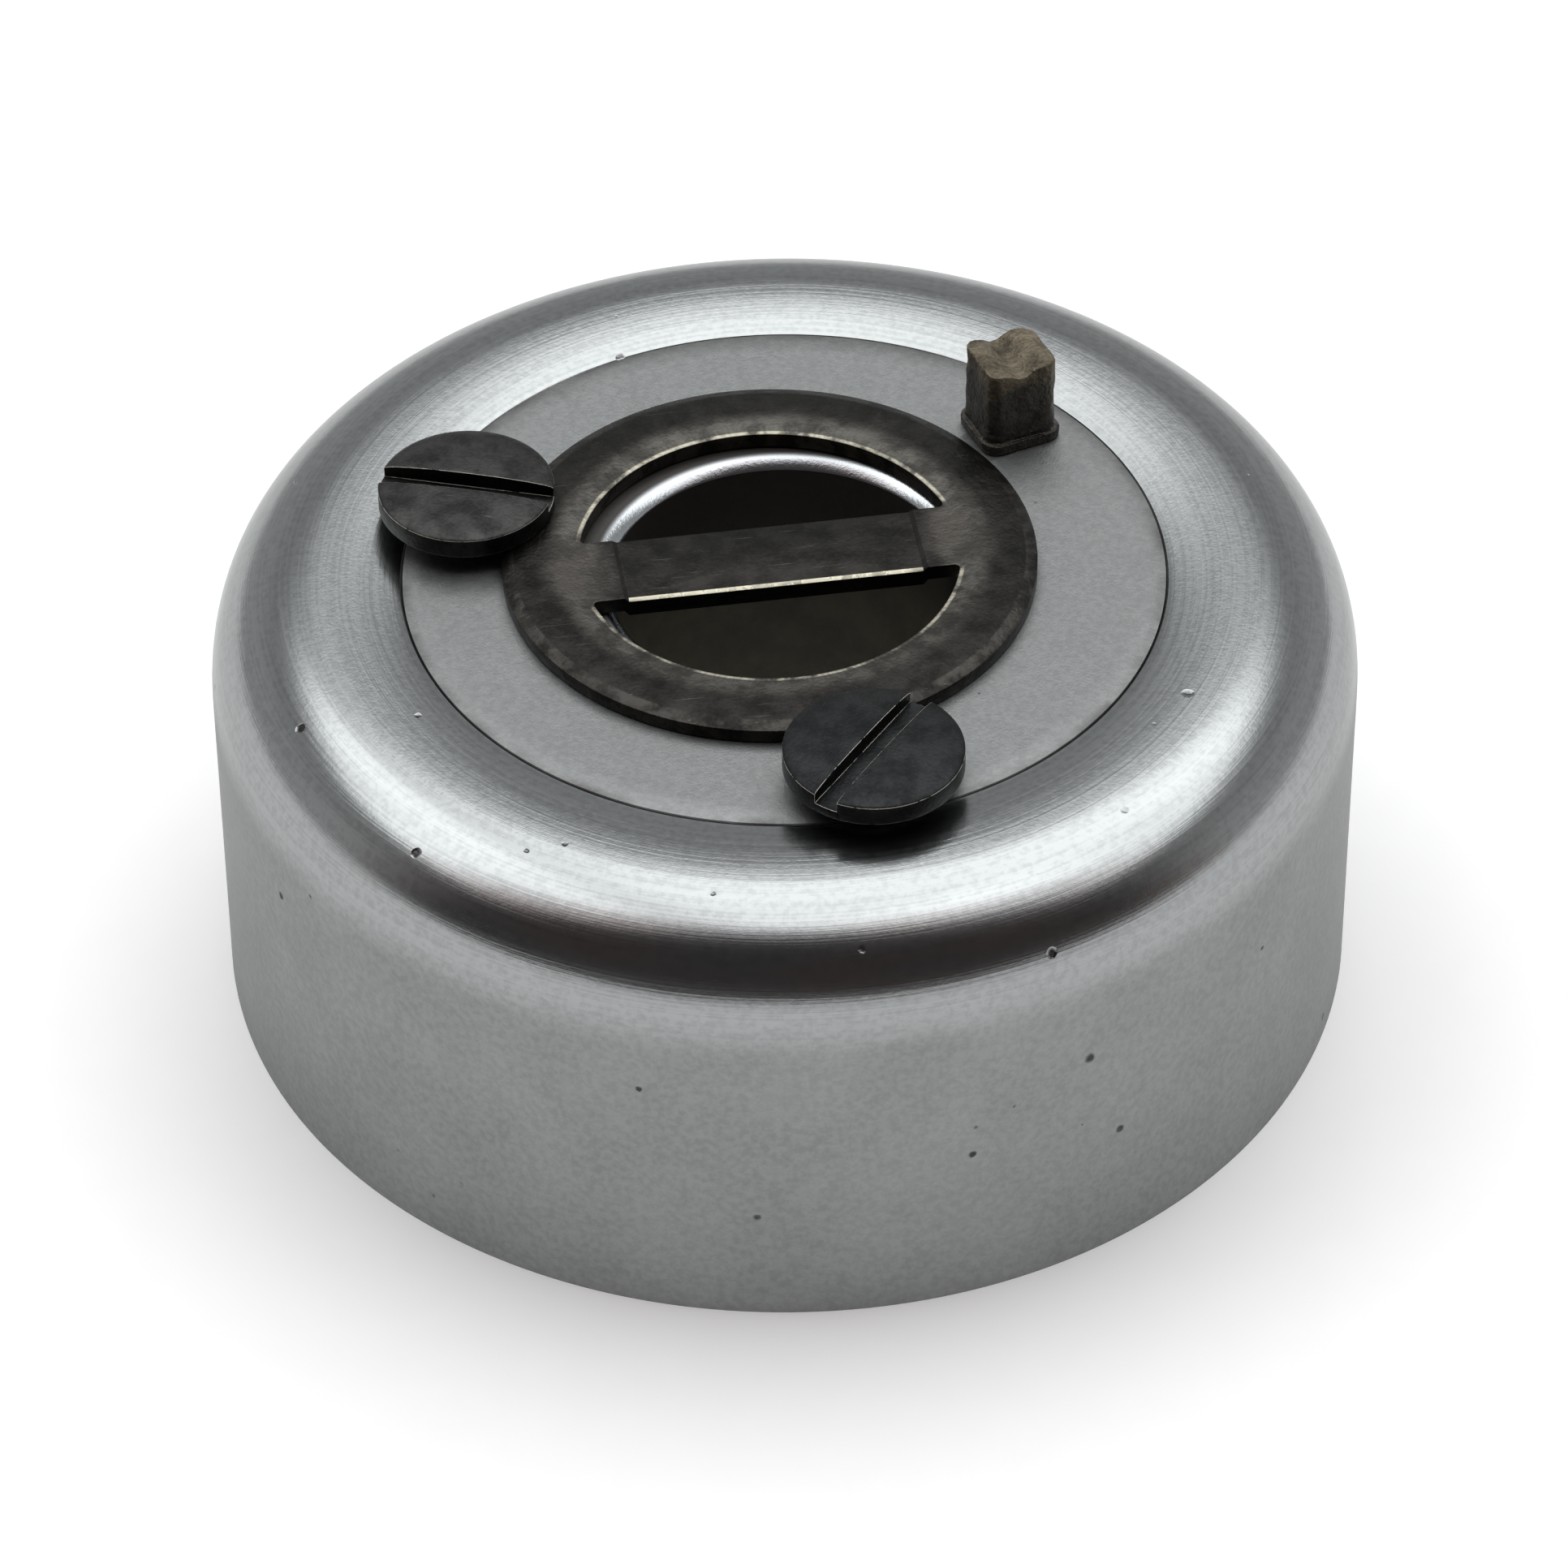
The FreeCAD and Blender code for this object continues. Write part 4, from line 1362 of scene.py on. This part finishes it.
@dataclass
class Bobbin:
    """The empty bobbin: a sleeve and two flanges."""

    radius: float = 12.7
    core: float = 6.0
    bore: float = 5.08
    bottom: float = 0.5
    top: float = 9.7
    flange: float = 0.5
    holes: int = 6
    sight_hole: float = 1.25
    sight_circle: float = 9.5
    thread_hole: float = 0.5
    thread_place: Point = (7.3, 30.0)

    def side(self, name: str, bottom: float) -> Workpiece:
        """Builds one flange with its sight holes and its thread hole.

        Args:
            name: The flange's name.
            bottom: Height of its lower face.

        Returns:
            The flange.
        """
        flange = Workpiece.turned(name, Case.band(self.core + 0.01, self.radius, bottom,
                                                  bottom + self.flange), steps=192)
        spots = [(self.sight_hole, polar(self.sight_circle, 360 / self.holes * i))
                 for i in range(self.holes)]
        spots.append((self.thread_hole, polar(*self.thread_place)))
        drills = [Workpiece.rod("drill", r, Vector((*c, bottom - 1)), Vector((*c, bottom + 2)), 48)
                  for r, c in spots]
        return flange.worked(drills).rounded(0.1, 3)

    def build(self, effects: Effects) -> None:
        """Builds and dresses the bobbin.

        Args:
            effects: The shared effects.
        """
        steel = BrightSteelFinish("bobbin_steel", (0.44, 0.45, 0.46), (0.60, 0.61, 0.62), 0.3).build(effects)
        sleeve = Workpiece.turned("bobbin_core_finished", Case.band(self.bore, self.core, self.bottom,
                                                                    self.top), steps=128)
        sleeve.rounded(0.05).finished("bobbin_core", "bobbin", "bobbin_steel", steel)
        for node, bottom in (("bobbin_lower_flange", self.bottom),
                             ("bobbin_upper_flange", self.top - self.flange)):
            self.side(node + "_finished", bottom).finished(node, "bobbin", "bobbin_steel", steel)


# ---- studio -------------------------------------------------------------------
@dataclass
class Studio:
    """A pale floor, soft lights and the camera."""

    floor_size: float = 3.0
    camera_place: tuple[float, float, float] = (-0.0000442, -0.141704, 0.129442)
    camera_tilt: float = 48.622
    camera_roll: float = -0.436
    lens: float = 168.37
    floor_glow: float = 0.20
    paper_dark: Colour = (0.90, 0.90, 0.90)
    paper_light: Colour = (0.94, 0.94, 0.94)
    window_foot: Point = (0.62, 0.725)
    window_front: Point = (-0.40, 0.10)
    window_glow: Point = (2.05, 2.8)
    mullion: float = -0.18
    mullion_glow: float = 0.58
    wall_glow: float = 0.46
    wall_top_glow: float = 0.24
    dark_glow: float = 0.055
    dark_tint: Colour = (1.0, 0.95, 0.98)
    dark_warm: Colour = (1.15, 0.88, 0.82)
    pale_tint: Colour = (0.985, 1.0, 1.0)

    def floor(self) -> None:
        """Lays the floor under the case's rim."""
        mesh = bmesh.new()
        bmesh.ops.create_grid(mesh, x_segments=1, y_segments=1, size=self.floor_size / 2)
        data = bpy.data.meshes.new("floor")
        mesh.to_mesh(data)
        mesh.free()
        floor = bpy.data.objects.new("floor", data)
        bpy.context.scene.collection.objects.link(floor)
        material = bpy.data.materials.new("pale_floor")
        material.use_nodes = True
        shader = material.node_tree.nodes["Principled BSDF"]
        r = Recipe(material.node_tree)
        spot = r.add("ShaderNodeTexCoord").outputs["Object"]
        paper = r.mix(r.noise(spot, 900.0, 3.0), self.paper_dark, self.paper_light)
        r.tree.links.new(paper, shader.inputs["Base Color"])
        shader.inputs["Roughness"].default_value = 0.8
        shader.inputs["Specular IOR Level"].default_value = 0.2
        shader.inputs["Emission Color"].default_value = (1.0, 1.0, 1.0, 1.0)
        shader.inputs["Emission Strength"].default_value = self.floor_glow
        data.materials.append(material)

    def sky(self) -> None:
        """Sets the room: a tall bright window behind, a pale wall under it, a dark side in front."""
        world = bpy.data.worlds.new("room")
        world.use_nodes = True
        bpy.context.scene.world = world
        tree = world.node_tree
        tree.nodes.clear()
        r = Recipe(tree)
        way = r.add("ShaderNodeTexCoord").outputs["Generated"]
        parts = r.add("ShaderNodeSeparateXYZ", i0=way).outputs
        side, back, up = parts[0], parts[1], parts[2]
        window = r.math("MULTIPLY", r.span(up, *self.window_foot), r.span(back, *self.window_front))
        wall = r.span(back, -0.45, 0.05)
        off_bar = r.math("ABSOLUTE", r.math("SUBTRACT", side, self.mullion))
        panes = r.math("MULTIPLY", r.span(r.noise(way, 2.4, 1.0), 0.35, 0.65, *self.window_glow),
                       r.span(off_bar, 0.02, 0.12, self.mullion_glow, 1.0))
        glow = r.math("MULTIPLY", window, panes)
        wall_level = r.span(up, 0.3, 0.58, self.wall_glow, self.wall_top_glow)
        level = r.math("ADD", glow, r.math("MULTIPLY", wall, wall_level))
        light = r.math("ADD", level, self.dark_glow)
        dark_side = r.mix(r.span(r.noise(way, 3.0, 1.0), 0.4, 0.6), self.dark_tint, self.dark_warm)
        colour = r.mix(wall, dark_side, self.pale_tint)
        ground = r.add("ShaderNodeBackground", Color=colour, Strength=light)
        r.add("ShaderNodeOutputWorld", Surface=ground.outputs[0])

    def camera(self) -> None:
        """Sets the camera."""
        data = bpy.data.cameras.new("camera")
        data.lens = self.lens
        data.clip_start = 0.01
        holder = bpy.data.objects.new("camera", data)
        holder.location = self.camera_place
        turn = Euler((math.radians(self.camera_tilt), 0, 0)).to_matrix() @ Euler(
            (0, 0, math.radians(self.camera_roll))).to_matrix()
        holder.rotation_euler = turn.to_euler()
        bpy.context.scene.collection.objects.link(holder)
        bpy.context.scene.camera = holder

    def build(self) -> None:
        """Sets the whole stage."""
        self.floor()
        self.sky()
        self.camera()
        bpy.context.scene.view_settings.view_transform = "Standard"


def main() -> None:
    """Builds the case, piece by piece, and its stage."""
    logging.basicConfig(level=logging.INFO, format="%(message)s")
    effects = Effects()
    Case().build(effects)
    RetainingDisc().build(effects)
    keepers = (("left", 164.9, -11.5, (0.011, 0.0112, 0.0110), (0.062, 0.062, 0.060)),
               ("right", -75.1, 57.5, (0.0085, 0.009, 0.0095), (0.034, 0.035, 0.036)))
    for side, angle, slot_turn, dark, light in keepers:
        finish = DarkSteelFinish("blued_screw_" + side, dark, light, (0.50, 0.48, 0.42), turn=slot_turn,
                                 cover=0.75)
        KeeperScrew("keeper_screw_" + side, angle, slot_turn).build(finish, effects)
    LocatingPeg().build(effects)
    Tension().build(effects)
    Bobbin().build(effects)
    Studio().build()


if __name__ == "__main__":
    main()
